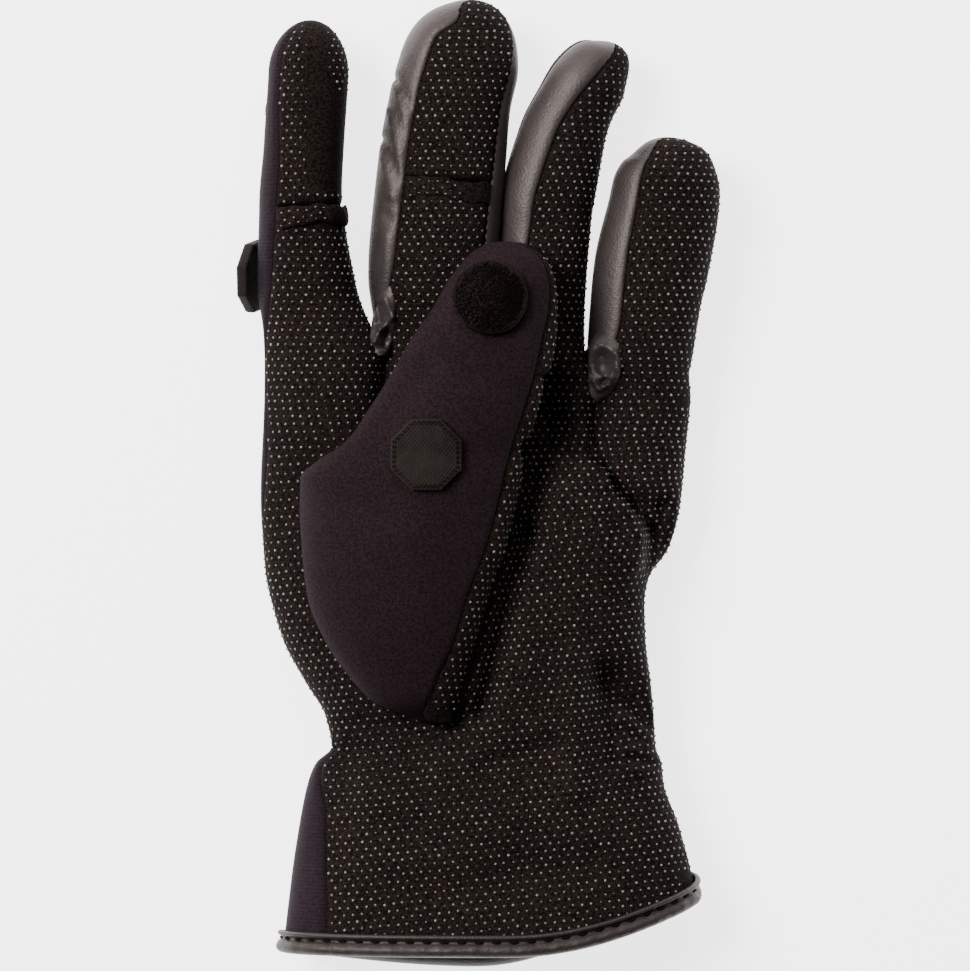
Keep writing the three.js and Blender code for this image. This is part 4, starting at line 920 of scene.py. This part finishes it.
def leather_finish(name, dark, light, shine):
    """Grey-brown hide with a low sheen, a pebbled grain and lighter, duller rubbed patches."""
    finish = new_finish(name, Specular_IOR_Level=shine, Specular_Tint=(1, 0.86, 0.82, 1))
    tree = finish.node_tree
    place = add_node(tree, "TexCoord", {})["Object"]
    rubbed = cloudy(tree, place, 90, 6)
    pebble = add_node(tree, "TexVoronoi", {"Vector": place, "Scale": 1500})["Distance"]
    grain = reckon(tree, "MULTIPLY_ADD", cloudy(tree, place, 260, 3), 2.5, pebble)
    fill(tree, tree.nodes["Principled BSDF"], {
        "Base Color": blend(tree, rubbed, (*dark, 1), (*light, 1)),
        "Roughness": spread(tree, rubbed, 0, 1, 0.46, 0.62),
        "Normal": raised(tree, grain, 0.7, 0.0001),
    })
    return finish


soft_hide = leather_finish("soft_hide", (0.008, 0.0058, 0.0052), (0.03, 0.0232, 0.0215), 0.5)
for name in FOURCHETTES[1:4]:
    sew(name.replace("fourchette", "hide"), glove, name, LEATHER_WALL, soft_hide, "leather")


# Puckers: where the hide between two fingers runs out at the crotch it is gathered into
# a small crumpled tongue, with an S-shaped fold by the middle finger and, by the little finger,
# an oval hollow with a raised rim.
def resting_on(x, y, reach):
    """Height of the highest point of the skin within reach of each place seen from above."""
    near = np.hypot(glove.points[:, 0] - x[:, None], glove.points[:, 1] - y[:, None]) < reach
    return np.where(near, glove.points[:, 2], 0).max(1)


def closed_bar(name, rings, cloth=None):
    """A bar through equal rings, with a fan over each end."""
    count, size = rings.shape[:2]
    index, quads = ring_faces(count, size)
    points = np.concatenate([rings.reshape(-1, 3), rings[:1].mean(1), rings[-1:].mean(1)])
    low = np.stack([np.roll(index[0], -1), index[0], np.full(size, count * size)], -1)
    high = np.stack([index[-1], np.roll(index[-1], -1), np.full(size, count * size + 1)], -1)
    if cloth is not None:
        cloth = np.concatenate([cloth.reshape(-1, 2), cloth[:1].mean(1), cloth[-1:].mean(1)])
    return closed_mesh(name, points, quads.reshape(-1, 4), np.concatenate([low, high]), cloth)


# Spine of each tongue seen from above with its half breadth and lift, and its folds
TONGUES = (
    ("middle_pucker", 1, [[-24.0, 51.5, 1.6, -1.6], [-24.6, 47.0, 2.5, -0.2], [-25.2, 41.8, 3.1, 0.1],
                          [-25.7, 37.4, 2.8, 0.1], [-25.4, 33.8, 1.2, -0.6]],
     [[-24.8, 48.3, -22.7, 43.6, 0.9, 0.9], [-22.7, 43.6, -25.9, 40.5, 0.9, 1.0],
      [-25.9, 40.5, -27.4, 37.4, 0.8, 1.0], [-27.4, 37.4, -24.3, 34.8, 0.8, 1.0],
      [-26.6, 46.6, -26.2, 42.6, 1.0, -1.3], [-24.0, 40.0, -25.0, 36.4, 0.9, -1.3]]),
    ("little_pucker", 3, [[31.9, 39.6, 2.4, -1.9], [31.8, 35.3, 4.0, 0.3], [31.8, 30.7, 4.3, 0.8],
                          [31.5, 26.6, 3.7, 0.6], [30.9, 24.0, 2.9, 0.2], [30.3, 21.9, 0.7, -0.5]],
     [[31.1, 33.0, 31.5, 30.4, 2.2, -1.9], [32.2, 36.0, 34.6, 34.2, 0.9, 0.7],
      [34.6, 34.2, 35.0, 30.6, 0.9, 1.2], [35.0, 30.6, 33.4, 27.9, 0.8, 1.2],
      [28.8, 30.0, 31.0, 28.2, 0.8, 0.8], [29.0, 27.2, 30.4, 25.0, 0.6, 1.2],
      [30.4, 25.0, 32.8, 26.2, 0.6, 1.1], [32.8, 26.2, 34.2, 24.8, 0.6, 1.0],
      [31.4, 26.9, 32.2, 27.6, 0.6, -1.2]]),
)
SMOOTHED_OVER = 9
average = np.ones(SMOOTHED_OVER * 2 + 1) / (SMOOTHED_OVER * 2 + 1)
for name, j, spine, crumples in TONGUES:
    spine, crumples = np.array(spine), np.array(crumples)
    places = np.linspace(0, len(spine) - 1, 70)
    x, y, half, lift = (along(places, np.arange(len(spine)), spine[:, n]) for n in range(4))
    below = (resting_on(x + n * 0.8 * half, y, 1.5) for n in (-1, 0, 1))
    left, middle, right = (
        np.convolve(np.pad(v, SMOOTHED_OVER, mode="edge"), average, "valid") for v in below)
    z = middle + np.clip((left + right) / 2 - middle, 0, 1) + lift
    tilt = np.clip((right - left) / 1.6, -1.2, 1.2)
    turn = np.linspace(0, 2 * np.pi, 64, endpoint=False)
    over = power(np.sin(turn), 3)
    side = x[:, None] + half[:, None] * np.cos(turn)
    bow = folds(side, y[:, None], crumples) * (over > 0) * np.minimum(1, np.abs(over) * 1.6)
    high = z[:, None] + tilt[:, None] * np.cos(turn) + 0.9 * over + bow - 0.35 * np.cos(turn) ** 2 - 0.4
    rings = np.stack([side, y[:, None] + 0 * side, high], -1)
    place_piece(name, closed_bar(name, rings), soft_hide, "leather", FOURCHETTES[j])


# Thumb: a flattened tube that lies across the palm. Its neoprene back is a leaf sewn down
# over the thumb hole, its front is dotted knit, and beyond the slit is a dotted cap, which folds back on the
# glove but lies in place here.
THUMB_ROOT = (-18.37, -60.996)
THUMB_LENGTH = 124
THUMB_WIDTH = 56
THUMB_RISE = 17
THUMB_SEAT = 28.6
THUMB_EDGE = 3
THUMB_LEAF_LIFT = -0.9
THUMB_FREE = 0.51
THUMB_SLIT = 0.72
THUMB_SQUARE = 2.2
THUMB = {
    "at": [0, 0.045, 0.1, 0.17, 0.26, 0.36, 0.45, 0.51, 0.545, 0.58, 0.65, 0.72, 0.8, 0.86, 0.91,
           0.95, 0.98, 0.995],
    "left": [0.03, -0.175, -0.286, -0.39, -0.47, -0.498, -0.508, -0.5, -0.42, -0.3, -0.19, -0.09,
             0.014, 0.11, 0.17, 0.236, 0.3, 0.37],
    "right": [0.2, 0.225, 0.249, 0.3, 0.355, 0.433, 0.486, 0.51, 0.516, 0.53, 0.58, 0.62, 0.655,
              0.675, 0.668, 0.64, 0.575, 0.5],
    "rise": [0.12, 0.28, 0.42, 0.58, 0.72, 0.82, 0.88, 0.92, 0.95, 0.97, 1, 1, 1, 0.97, 0.92, 0.8,
             0.6, 0.3],
    "seam": [-20, 18, 34, 46, 50, 54, 56, 58, 60, 60, 60, 60, 60, 62, 66, 66, 66, 66],
}
THUMB_BACK, THUMB_SIDE, THUMB_UNDER = 52, 18, 26


def thumb_point(at, arc, share):
    """Ring of the thumb: a superellipse between its side edges, over a seat that follows the
    palm along the leaf and is level beyond it. On the leaf both edges run down to the palm."""
    y = THUMB_ROOT[1] + at * THUMB_LENGTH
    left = THUMB_ROOT[0] + along(at, THUMB["at"], THUMB["left"]) * THUMB_WIDTH
    right = THUMB_ROOT[0] + along(at, THUMB["at"], THUMB["right"]) * THUMB_WIDTH
    rise = along(at, THUMB["at"], THUMB["rise"]) * THUMB_RISE
    seam = along(at, THUMB["at"], THUMB["seam"])
    free = ease((at - THUMB_FREE + 0.06) / 0.12)
    start = np.choose(arc, [-90 - 20 * free, seam, 110 + 0 * at])
    end = np.choose(arc, [seam, 110 + 0 * at, 250 + 0 * at])
    degrees = start + (end - start) * share
    x = (left + right) / 2 + (right - left) / 2 * power(np.sin(np.radians(degrees)), THUMB_SQUARE)
    up = power(np.cos(np.radians(degrees)), THUMB_SQUARE)
    under = THUMB_EDGE + (rise * 0.45 - THUMB_EDGE) * free
    leaf = palm_top(x, y)
    level = ease((at - 0.45) / 0.2)
    seat = (leaf + THUMB_LEAF_LIFT) * (1 - level) + THUMB_SEAT * level
    z = seat + under + np.where(up > 0, (rise - under * free) * up, under * up)
    drop = np.clip((degrees - 90) / 20, 0, 1)
    down = (arc == 1) & (degrees > 90)
    x = np.where(down, right * (1 - free) + x * free, x)
    z = np.where(down, (seat + under * (1 - drop)) * (1 - free) + z * free, z)
    return np.stack(np.broadcast_arrays(x, y, z), -1), leaf


thumb_arc = np.repeat([0, 1, 2], [THUMB_BACK, THUMB_SIDE, THUMB_UNDER])
even = np.concatenate([np.arange(n) / n for n in (THUMB_BACK, THUMB_SIDE, THUMB_UNDER)])
even = even - 0.06 * np.sin(2 * np.pi * even)
tip_rows = 0.86 + 0.125 * np.sin(np.linspace(0, np.pi / 2, 22))
thumb_rows = np.unique(np.concatenate([np.linspace(0, 0.86, 104), tip_rows, [THUMB_FREE, THUMB_SLIT]]))
at = np.broadcast_to(thumb_rows[:, None], (len(thumb_rows), len(thumb_arc)))
thumb_grid, leaf = thumb_point(at, np.broadcast_to(thumb_arc, at.shape), even)
step = np.linalg.norm(np.diff(thumb_grid[:, : THUMB_BACK + THUMB_SIDE + 1], axis=1), axis=2)
run = np.concatenate([np.zeros((len(step), 1)), np.cumsum(step, 1)], 1)
from_left = np.full(at.shape, 99.0)
from_left[:, : run.shape[1]] = run
sewn_down = (1 - ease((at - THUMB_FREE + 0.05) / 0.08))
hem = np.maximum(np.exp(-(from_left / 2.4) ** 2) * sewn_down, np.exp(-(at * THUMB_LENGTH / 3.0) ** 2))
hem = hem * (thumb_arc == 0)
thumb_grid[..., 2] += (leaf + 0.15 - thumb_grid[..., 2]) * hem
turns = np.linspace(0, np.pi / 2 * 0.97, 10)[1:, None, None]
tip = thumb_grid[-1].mean(0)
tip_dome = tip + (thumb_grid[-1] - tip) * np.cos(turns) + np.array([0.4, 1.6, -1.0]) * np.sin(turns)
thumb_grid = np.concatenate([thumb_grid, tip_dome])
thumb_rows = np.append(thumb_rows, thumb_rows[-1] + np.arange(1, 10) * 0.0004)
at = np.broadcast_to(thumb_rows[:, None], thumb_grid.shape[:2])
hem = np.concatenate([hem, np.zeros((9, hem.shape[1]))])
piece_of = np.array(["thumb_back", "thumb_front", "thumb_front"])[thumb_arc]
pieces = np.tile(piece_of, (len(thumb_rows) - 1, 1)).astype("U40")
pieces[np.ix_(thumb_rows[:-1] >= THUMB_SLIT, thumb_arc > 0)] = "thumb_cap"
pieces[np.ix_(thumb_rows[:-1] < THUMB_FREE, thumb_arc == 2)] = ""
away = from_seams(thumb_grid, [0, THUMB_BACK])
across_slit = np.abs(thumb_rows - THUMB_SLIT)[:, None] * THUMB_LENGTH
THUMB_FOLDS = np.array([
    [19.4, 40.5, 16.6, 29.6, 1.4, 1.04], [14, 24.9, 11.6, 12.9, 1.3, 0.91],
    [10.9, 17.5, 11.2, 8.9, 1, -1.04], [7.5, 4.9, 4.2, -17.1, 1.6, 0.65],
    [-14, 30.9, -27, 12.9, 4.5, -1.04], [-6, 20.9, -18, -13.1, 7, 0.91],
])
slit_dip = groove(across_slit, 0.9, 0.9) * (thumb_arc > 0) * clear_of(away, 2)
creases = folds(thumb_grid[..., 0], thumb_grid[..., 1], THUMB_FOLDS) * (thumb_arc < 2)
dips = groove(away, 0.6, 0.9) * ease((1 - at) / 0.05) + slit_dip + creases * clear_of(away, 1.5)
walls = np.where(thumb_arc == 0, 1 - 0.75 * hem, 1)
thumb = Skin()
thumb_index = thumb.lay(thumb_grid, dips, walls, pieces, False)
thumb.close(thumb_index[-1], pieces[-1])
thumb.join()
smooth_jersey = knit_finish("smooth_jersey", (0.0042, 0.0018, 0.0026), (0.0158, 0.0082, 0.0104),
                            (0.01, 0.005, 0.0065), speckle=0.9, pitch=0.6, stitches=0.5, bump=0.1, rough=0.84)
sew("thumb_back_jersey", thumb, "thumb_back", NEOPRENE_WALL, smooth_jersey, "neoprene")
for name in ("thumb_front", "thumb_cap"):
    sew(name + "_knit", thumb, name, FABRIC_WALL, grip_cloth, "grip_fabric")

THUMB_DOTS_FROM, THUMB_DOTS_TO = 4, 120
line_at = np.arange(THUMB_DOTS_FROM, THUMB_DOTS_TO, DOT_ALONG) / THUMB_LENGTH
side = slice(THUMB_BACK, THUMB_BACK + THUMB_SIDE + 1)
points, aims = thumb.at(thumb_index[:, side])
k = np.clip(np.searchsorted(thumb_rows, line_at) - 1, 0, len(thumb_rows) - 2)
part = ((line_at - thumb_rows[k]) / (thumb_rows[k + 1] - thumb_rows[k]))[:, None, None]
lines, directions = (v[k] * (1 - part) + v[k + 1] * part for v in (points, aims))
places, directions, key = rows_of_dots(lines, directions, [(0, -0.3)] * len(lines), left_in=0.9)
keep = np.abs(line_at[key] - THUMB_SLIT) * THUMB_LENGTH > 1
field = dome_field("thumb_dots", places[keep], directions[keep], DOT_RADIUS, DOT_HIGH)
place_piece("thumb_dots", field, dot_rubber, "grip_fabric", "thumb_front", "thumb_cap")


# Slit hems: the sleeve's edge below each slit, rolled and sewn into a soft band. The
# index finger's roll is round and dotted at its left, the middle finger's is pressed flat.
HEM_TALL = 5
HEM_ROWS = 90
HEM_DOTS_FROM, HEM_DOTS_TO = 0.06, 0.5


def on_finger(i, at, degrees, out):
    """Point above a finger's skin, along the normal of the ring's surface there."""
    step = 0.004
    seat = finger_point(i, at, degrees)
    run = finger_point(i, at + step, degrees) - finger_point(i, at - step, degrees)
    round_it = finger_point(i, at, degrees + 1) - finger_point(i, at, degrees - 1)
    return seat + unit(np.cross(round_it, run)) * np.asarray(out)[..., None]


for i, name, proud in ((0, "index_hem", 1.5), (1, "middle_hem", 0.45)):
    f = FINGERS[i]
    starts, _ = finger_seams(i, np.array(f["slit"]))
    share = np.linspace(0, 1, HEM_ROWS)
    degrees = starts[0] + 3 + (starts[1] - starts[0] - 6) * share
    turn = np.linspace(0, 2 * np.pi, 24, endpoint=False)
    sway = 0.06 * np.sin(share * 11 + i) + 0.04 * np.sin(share * 27)
    tall = HEM_TALL * (1 + 0.07 * np.sin(share * 7 + 2))
    crush = 1 + 0.14 * np.sin(share * 31 + 1) * np.sin(share * 8) + 0.1 * np.sin(share * 5)
    end = np.sqrt(np.clip(1 - np.abs(2 * share - 1) ** 5, 0.02, 1))
    if i == 1:
        end = end * (0.3 + 0.7 * ease((share - 0.2) / 0.25))
    down = (0.5 + 0.5 * np.cos(turn))[None] * tall[:, None] + sway[:, None] * HEM_TALL
    height = 0.1 + proud * ((0.5 + 0.5 * power(np.sin(turn), 2.3))[None] * (crush * end)[:, None])
    rings = on_finger(i, f["slit"] - down / f["length"], degrees[:, None], height)
    place_piece(name.replace("hem", "slit_roll"), closed_bar(name, rings), grip_cloth, "grip_fabric", name)
    k = np.arange(int(HEM_DOTS_FROM * HEM_ROWS), int((HEM_DOTS_TO + 0.1 * i) * HEM_ROWS))
    run = run_of(rings[k, 6])
    spots = []
    for row, column in enumerate((8, 5, 3)):
        at = np.arange(0.4 + row % 2 * DOT_ACROSS / 2, run[-1], DOT_ACROSS)
        seat = on_path(at, run, rings[k, column])
        middle = on_path(at, run, rings[k].mean(1))
        spots.append(np.stack([seat, unit(seat - middle + [0, 0, 0.3])], 1))
    spots = np.concatenate(spots)
    field = dome_field(name + "_dots", spots[:, 0], spots[:, 1], DOT_RADIUS * 0.9, DOT_HIGH)
    place_piece(name.replace("hem", "roll_dots"), field, dot_rubber, "grip_fabric", name)


# Seam thread: short dark stitches sunk in the seams beside the leather, where the front of
# each finger is sewn to its sides, and down the thumb's seam.
def thread_row(path, normals, pitch, long, thick, sunk):
    """Stitches at even steps along a path: five six-sided rings each, whose height is a
    parabola along the stitch so that its ends go into the cloth."""
    run = run_of(path)
    count = int(run[-1] / pitch)
    u = np.linspace(-1, 1, 5)
    at = (np.arange(count) + 0.5)[:, None] * run[-1] / count + u * long / 2
    seat, out = on_path(at, run, path), unit(on_path(at, run, normals))
    ahead = unit(on_path(at + 0.3, run, path) - on_path(at - 0.3, run, path))
    side = unit(np.cross(ahead, out))
    turn = np.arange(6) * np.pi / 3
    radius = thick * np.sqrt(1 - 0.8 * u ** 4)[None, :, None, None]
    lift = (thick * 0.8 * (1 - u * u) - sunk - sunk * 3 * u * u)[None, :, None, None]
    points = seat[:, :, None] + out[:, :, None] * (lift + radius * np.sin(turn)[:, None]) \
        + side[:, :, None] * radius * np.cos(turn)[:, None]
    quads = ring_faces(5, 6)[1].reshape(-1, 4)
    ends = np.array([[0, 5, 4, 3], [0, 3, 2, 1], [24, 25, 26, 27], [24, 27, 28, 29]])
    start = (np.arange(count) * 30)[:, None, None]
    return points.reshape(-1, 3), (start + np.concatenate([quads, ends])[None]).reshape(-1, 4)


dark_thread = new_finish("dark_thread", Base_Color=(0.0022, 0.0014, 0.0012, 1), Roughness=0.8,
                         Specular_IOR_Level=0.1)


def place_thread(name, rows, slot, *nodes):
    """Several rows of stitches as one piece."""
    sizes = np.append(0, np.cumsum([len(points) for points, _ in rows]))
    quads = np.concatenate([faces + start for (_, faces), start in zip(rows, sizes)])
    mesh = closed_mesh(name, np.concatenate([points for points, _ in rows]), quads)
    place_piece(name, mesh, dark_thread, slot, *nodes)


sewn_rows = slice(10, -6)
rows = []
for i, seams in enumerate(([ARC], [0, ARC], [0, ARC], [0])):
    for column in seams:
        path, aims = glove.at(finger_index[i][sewn_rows, column])
        rows.append(thread_row(path, aims, pitch=2.3, long=1.3, thick=0.17, sunk=0.02))
place_thread("finger_seam_thread", rows, "leather", *FOURCHETTES[1:4])
seam_rows = (thumb_rows > 0.03) & (thumb_rows < 0.95)
path, aims = thumb.at(thumb_index[seam_rows, THUMB_BACK])
rows = [thread_row(path, aims, pitch=2.6, long=1.5, thick=0.17, sunk=0.02)]
place_thread("thumb_seam_thread", rows, "grip_fabric", "thumb_front", "thumb_cap")


# Hem binding: a strip of hide folded round the cuff's edge, with a piping roll above it,
# a row of sunk stitches and a soft main roll that hangs lower in front than behind.
edge, above = palm[-1], palm[-2]
run = unit(np.roll(edge, -1, 0) - np.roll(edge, 1, 0))
down = edge - above
out = -np.cross(run, down)
down = unit(down * [0, 1, 0])
out = unit(out - down * (out * down).sum(1, keepdims=True))
profile = np.array([
    [0.35, -3.1], [1.0, -3.15], [1.5, -2.95], [1.72, -2.55], [1.6, -2.15], [1.2, -1.85], [0.85, -1.6],
    [0.72, -1.3], [0.8, -1.0], [1.15, -0.72], [1.55, -0.35], [1.85, 0.2], [2.0, 0.9], [2.0, 1.6],
    [1.85, 2.3], [1.5, 2.95], [1.0, 3.4], [0.3, 3.65], [-0.5, 3.7], [-1.4, 3.5], [-2.3, 3.1], [-3.2, 2.3],
    [-3.9, 1.2], [-4.2, 0], [-4.2, -1.5], [-4.2, -3.0], [-3.0, -3.0], [-3.0, -1.2], [-3.0, 0.3],
    [-1.3, 0.3], [0.3, 0.3], [0.3, -1.2], [0.3, -2.6],
])
column = np.arange(PALM_COLUMNS * 2)
behind = ease((column - PALM_COLUMNS) / 14) * ease((PALM_COLUMNS * 2 - column) / 14)
length = run_of(edge)
crush = 1 + 0.05 * np.sin(length * 0.9) + 0.06 * np.sin(length * 0.37 + 1) + 0.04 * np.sin(length * 2.1)
hang = np.where(profile[:, 1] > 0.4, 1, 0)[None] * (-0.28 + 0.1 * behind)[:, None] + 1
bulge = np.where((profile[:, 0] > 0.5) & (profile[:, 1] > -1), 1, 0)[None] * (crush - 1)[:, None] + 1
STITCH_PITCH = 4.4
sunk = np.exp(-((length[:, None] % STITCH_PITCH - STITCH_PITCH / 2) / 0.8) ** 2)
pinch = 1 - 0.35 * sunk * np.exp(-((profile[:, 1] + 0.8) / 0.9) ** 2) * (profile[:, 0] > 0.5)
rings = edge[:, None] + out[:, None] * (profile[:, 0] * bulge * pinch)[..., None] \
    + down[:, None] * (profile[:, 1] * hang)[..., None]
rings[..., 2] = np.maximum(rings[..., 2], 0.02)
count, size = rings.shape[:2]
index = np.arange(count * size).reshape(count, size)
after, ahead = np.roll(index, -1, 1), np.roll(index, -1, 0)
quads = np.stack([index, after, np.roll(ahead, -1, 1), ahead], -1).reshape(-1, 4)
hem_hide = leather_finish("hem_hide", (0.005, 0.0033, 0.003), (0.018, 0.0128, 0.0118), 0.4)
binding = closed_mesh("binding_hide", rings.reshape(-1, 3), quads)
place_piece("binding_hide", binding, hem_hide, "leather", "hem_binding")
seat, aims, drop = (np.concatenate([part, part[:1]]) for part in (edge, out, down))
path = seat + aims * 0.78 - drop * 1.3
rows = [thread_row(path, aims, STITCH_PITCH, long=2.3, thick=0.3, sunk=-0.02)]
place_thread("binding_thread", rows, "leather", "hem_binding")


# Fastening patches: round ones of black looped pile and eight-sided ones of woven tape with
# a sewn border, laid on the thumb, on the back of the middle finger and round the index finger.
LAID_ON = 0.42
ROUND_PATCH = 19
SMALL_ROUND_PATCH = 16
OCTAGON_PATCH = 18
PATCH_THICK = 1.6
STIFF_PATCH_THICK = 2.6
HALVINGS = 24


def on_thumb(x, y):
    """A patch's seat on the thumb's back, laid over it from above: the share of the arc below
    each point is found by halving."""
    def lay(p, q, h):
        at = (y + q - THUMB_ROOT[1]) / THUMB_LENGTH
        low, high = np.zeros_like(at), np.ones_like(at)
        for _ in range(HALVINGS):
            half = (low + high) / 2
            short = thumb_point(at, np.zeros(at.shape, int), half)[0][..., 0] < x + p
            low, high = np.where(short, half, low), np.where(short, high, half)
        z = thumb_point(at, np.zeros(at.shape, int), (low + high) / 2)[0][..., 2]
        return np.stack([x + p, y + q, z + folds(x + p, y + q, THUMB_FOLDS) + LAID_ON + h], -1)
    return lay


def round_finger(i, at, degrees, stiff):
    """A patch's seat on a finger: bent round its skin, or flat on its normal where stiff."""
    f = FINGERS[i]
    girth = np.pi * np.sqrt((f["width"] ** 2 + f["depth"] ** 2) / 2)
    seat = finger_point(i, at, degrees)
    normal = unit(on_finger(i, np.array(at), np.array(degrees), np.array(1.0)) - seat)
    ahead = unit(finger_point(i, at + 0.02, degrees) - finger_point(i, at - 0.02, degrees))
    beside = unit(np.cross(ahead, normal))

    def lay(p, q, h):
        if stiff:
            return seat + beside * p[..., None] + ahead * q[..., None] + normal * (LAID_ON + h)[..., None]
        return on_finger(i, at + q / f["length"], degrees + p / girth * 360, LAID_ON + h)
    return lay


def eight_sided(turn):
    """Reach of an octagon of half breadth one, whose flats face the axes."""
    return 1 / np.cos((turn + np.pi / 8) % (np.pi / 4) - np.pi / 8)


def slab(name, size, thick, sides, lay):
    """A patch's body: rings from the middle of its top, over a rounded rim, to its middle
    below. Its cloth coordinates are millimetres across and along."""
    turn = np.linspace(0, 2 * np.pi, 96, endpoint=False)
    cut_round = 1 + 0.006 * np.sin(turn * 5) + 0.005 * np.sin(turn * 13)
    reach, rim = (eight_sided(turn), 0.0) if sides == 8 else (cut_round, 0.22)
    share = np.concatenate([np.linspace(0.02, 0.9, 24), [0.93, 0.96, 0.985, 1, 1, 0.985, 0.9, 0.5]])
    rim_high = [1 + rim * 0.6, 1 + rim, 1 + rim * 0.3, 0.75, 0.2, 0, 0, 0]
    high = np.concatenate([np.full(24, 1.0), rim_high]) * thick
    p = size / 2 * share[:, None] * reach * np.cos(turn)
    q = size / 2 * share[:, None] * reach * np.sin(turn)
    sag = 0.12 * np.sin(p * 0.5 + 1) * np.cos(q * 0.4) * (share < 0.95)[:, None]
    rings = lay(p, q, high[:, None] + sag + 0 * p)
    return closed_bar(name, rings, np.stack([p, q], -1))


def pile(name, size, thick, lay, seed):
    """Loops of pile: half rings of fibre, three-sided, at shaken places of a square grid and
    turned every way, each lifted onto the patch's top."""
    shake = np.random.default_rng(seed)
    step = 0.62
    line = np.arange(-size / 2, size / 2, step)
    p, q = [v.ravel() for v in np.meshgrid(line, line)]
    p, q = p + shake.uniform(-0.3, 0.3, p.shape), q + shake.uniform(-0.3, 0.3, p.shape)
    inside = np.hypot(p, q) < size / 2 * 0.955
    p, q = p[inside], q[inside]
    count = len(p)
    facing, lean = shake.uniform(0, 2 * np.pi, count), shake.uniform(-0.5, 0.5, count)
    radius, tall = shake.uniform(0.3, 0.75, count), shake.uniform(0.2, 0.8, count)
    bow = np.linspace(0, np.pi, 6)
    turn = np.arange(3) * 2 * np.pi / 3
    fibre = 0.075 * (1 + 0.7 * shake.uniform(0, 1, count))[:, None, None]
    out = radius[:, None, None] * np.cos(bow)[:, None] + fibre * np.cos(turn) * np.cos(bow)[:, None]
    up = tall[:, None, None] * np.sin(bow)[:, None] + fibre * np.cos(turn) * np.sin(bow)[:, None]
    across = fibre * np.sin(turn) + lean[:, None, None] * up
    c, s = np.cos(facing)[:, None, None], np.sin(facing)[:, None, None]
    p, q = p[:, None, None] + out * c - across * s, q[:, None, None] + out * s + across * c
    points = lay(p, q, thick - 0.05 + up)
    start = (np.arange(count) * 18)[:, None, None]
    quads = start + ring_faces(6, 3)[1].reshape(1, -1, 4)
    ends = start + np.array([[[2, 1, 0], [15, 16, 17]]])
    return closed_mesh(name, points.reshape(-1, 3), quads.reshape(-1, 4), ends.reshape(-1, 3))


def weave_finish():
    """Coarse tape of threads over and under each other: ribs of one way on the product of two
    sines of the cloth coordinates, brown on top and darker between, a painted shade in the hollows between
    the threads, mottled by random wear."""
    finish = new_finish("woven_tape", Roughness=0.8, Specular_IOR_Level=0.15)
    tree = finish.node_tree
    cloth = add_node(tree, "SeparateXYZ", {"n0": add_node(tree, "UVMap", {}, uv_map="cloth")["UV"]})
    across = reckon(tree, "SINE", reckon(tree, "MULTIPLY", cloth["X"], 6.3))
    lengthwise = reckon(tree, "SINE", reckon(tree, "MULTIPLY", cloth["Y"], 5.2))
    woven = reckon(tree, "MULTIPLY_ADD", reckon(tree, "MULTIPLY", across, lengthwise), 0.3, 0.5)
    ribs = reckon(tree, "MULTIPLY_ADD", reckon(tree, "ABSOLUTE", across), 0.35, woven)
    tone_mask = cloudy(tree, add_node(tree, "TexCoord", {})["Object"], 420, 4)
    # Painted shade: the tape is darker where the ribs are low, between the threads, and random wear noise
    # scales it.
    shade = reckon(tree, "MULTIPLY", ribs, tone_mask)
    tone = blend(tree, shade, (0.0028, 0.0014, 0.0011, 1), (0.0205, 0.0132, 0.0104, 1))
    normal = raised(tree, ribs, 0.9, 0.00025)
    fill(tree, tree.nodes["Principled BSDF"], {"Base Color": tone, "Normal": normal})
    return finish


woven_tape = weave_finish()
pile_fibre = new_finish("pile_fibre", Base_Color=(0.0011, 0.0006, 0.0005, 1), Roughness=0.6,
                        Specular_IOR_Level=0.08, Specular_Tint=(1, 0.72, 0.66, 1))
SEATS = {
    "thumb_tip_patch": (ROUND_PATCH, PATCH_THICK, 0, on_thumb(2.35, 48.0)),
    "thumb_patch": (OCTAGON_PATCH, PATCH_THICK, 8, on_thumb(-13.95, 8.07)),
    "index_patch": (OCTAGON_PATCH, STIFF_PATCH_THICK, 8, round_finger(0, 0.245, -112, True)),
    "index_tip_patch": (SMALL_ROUND_PATCH, PATCH_THICK, 0, round_finger(0, 0.73, -165, False)),
    "middle_patch": (OCTAGON_PATCH, PATCH_THICK, 8, round_finger(1, 0.3, 180, False)),
    "middle_tip_patch": (ROUND_PATCH, PATCH_THICK, 0, round_finger(1, 0.72, 180, False)),
}
for number, (name, (breadth, thick, sides, lay)) in enumerate(SEATS.items()):
    if sides == 8:
        tape = slab(name, breadth, thick, 8, lay)
        place_piece(name.replace("patch", "tape"), tape, woven_tape, "woven_tape", name)
        turn = np.linspace(0, 2 * np.pi, 289)
        rows = []
        for share in (0.87, 0.925):
            p, q = (breadth / 2 * share * eight_sided(turn) * v for v in (np.cos(turn), np.sin(turn)))
            path = lay(p, q, np.full(turn.shape, thick))
            aims = unit(lay(p, q, np.full(turn.shape, thick + 1.0)) - path)
            rows.append(thread_row(path, aims, pitch=1.25, long=0.95, thick=0.16, sunk=0.0))
        place_thread(name.replace("patch", "border"), rows, "woven_tape", name)
    else:
        base = slab(name, breadth, thick, 0, lay)
        place_piece(name.replace("patch", "pile_base"), base, pile_fibre, "loop_pile", name)
        loops = pile(name + "_loops", breadth, thick, lay, number)
        place_piece(name.replace("patch", "pile"), loops, pile_fibre, "loop_pile", name)
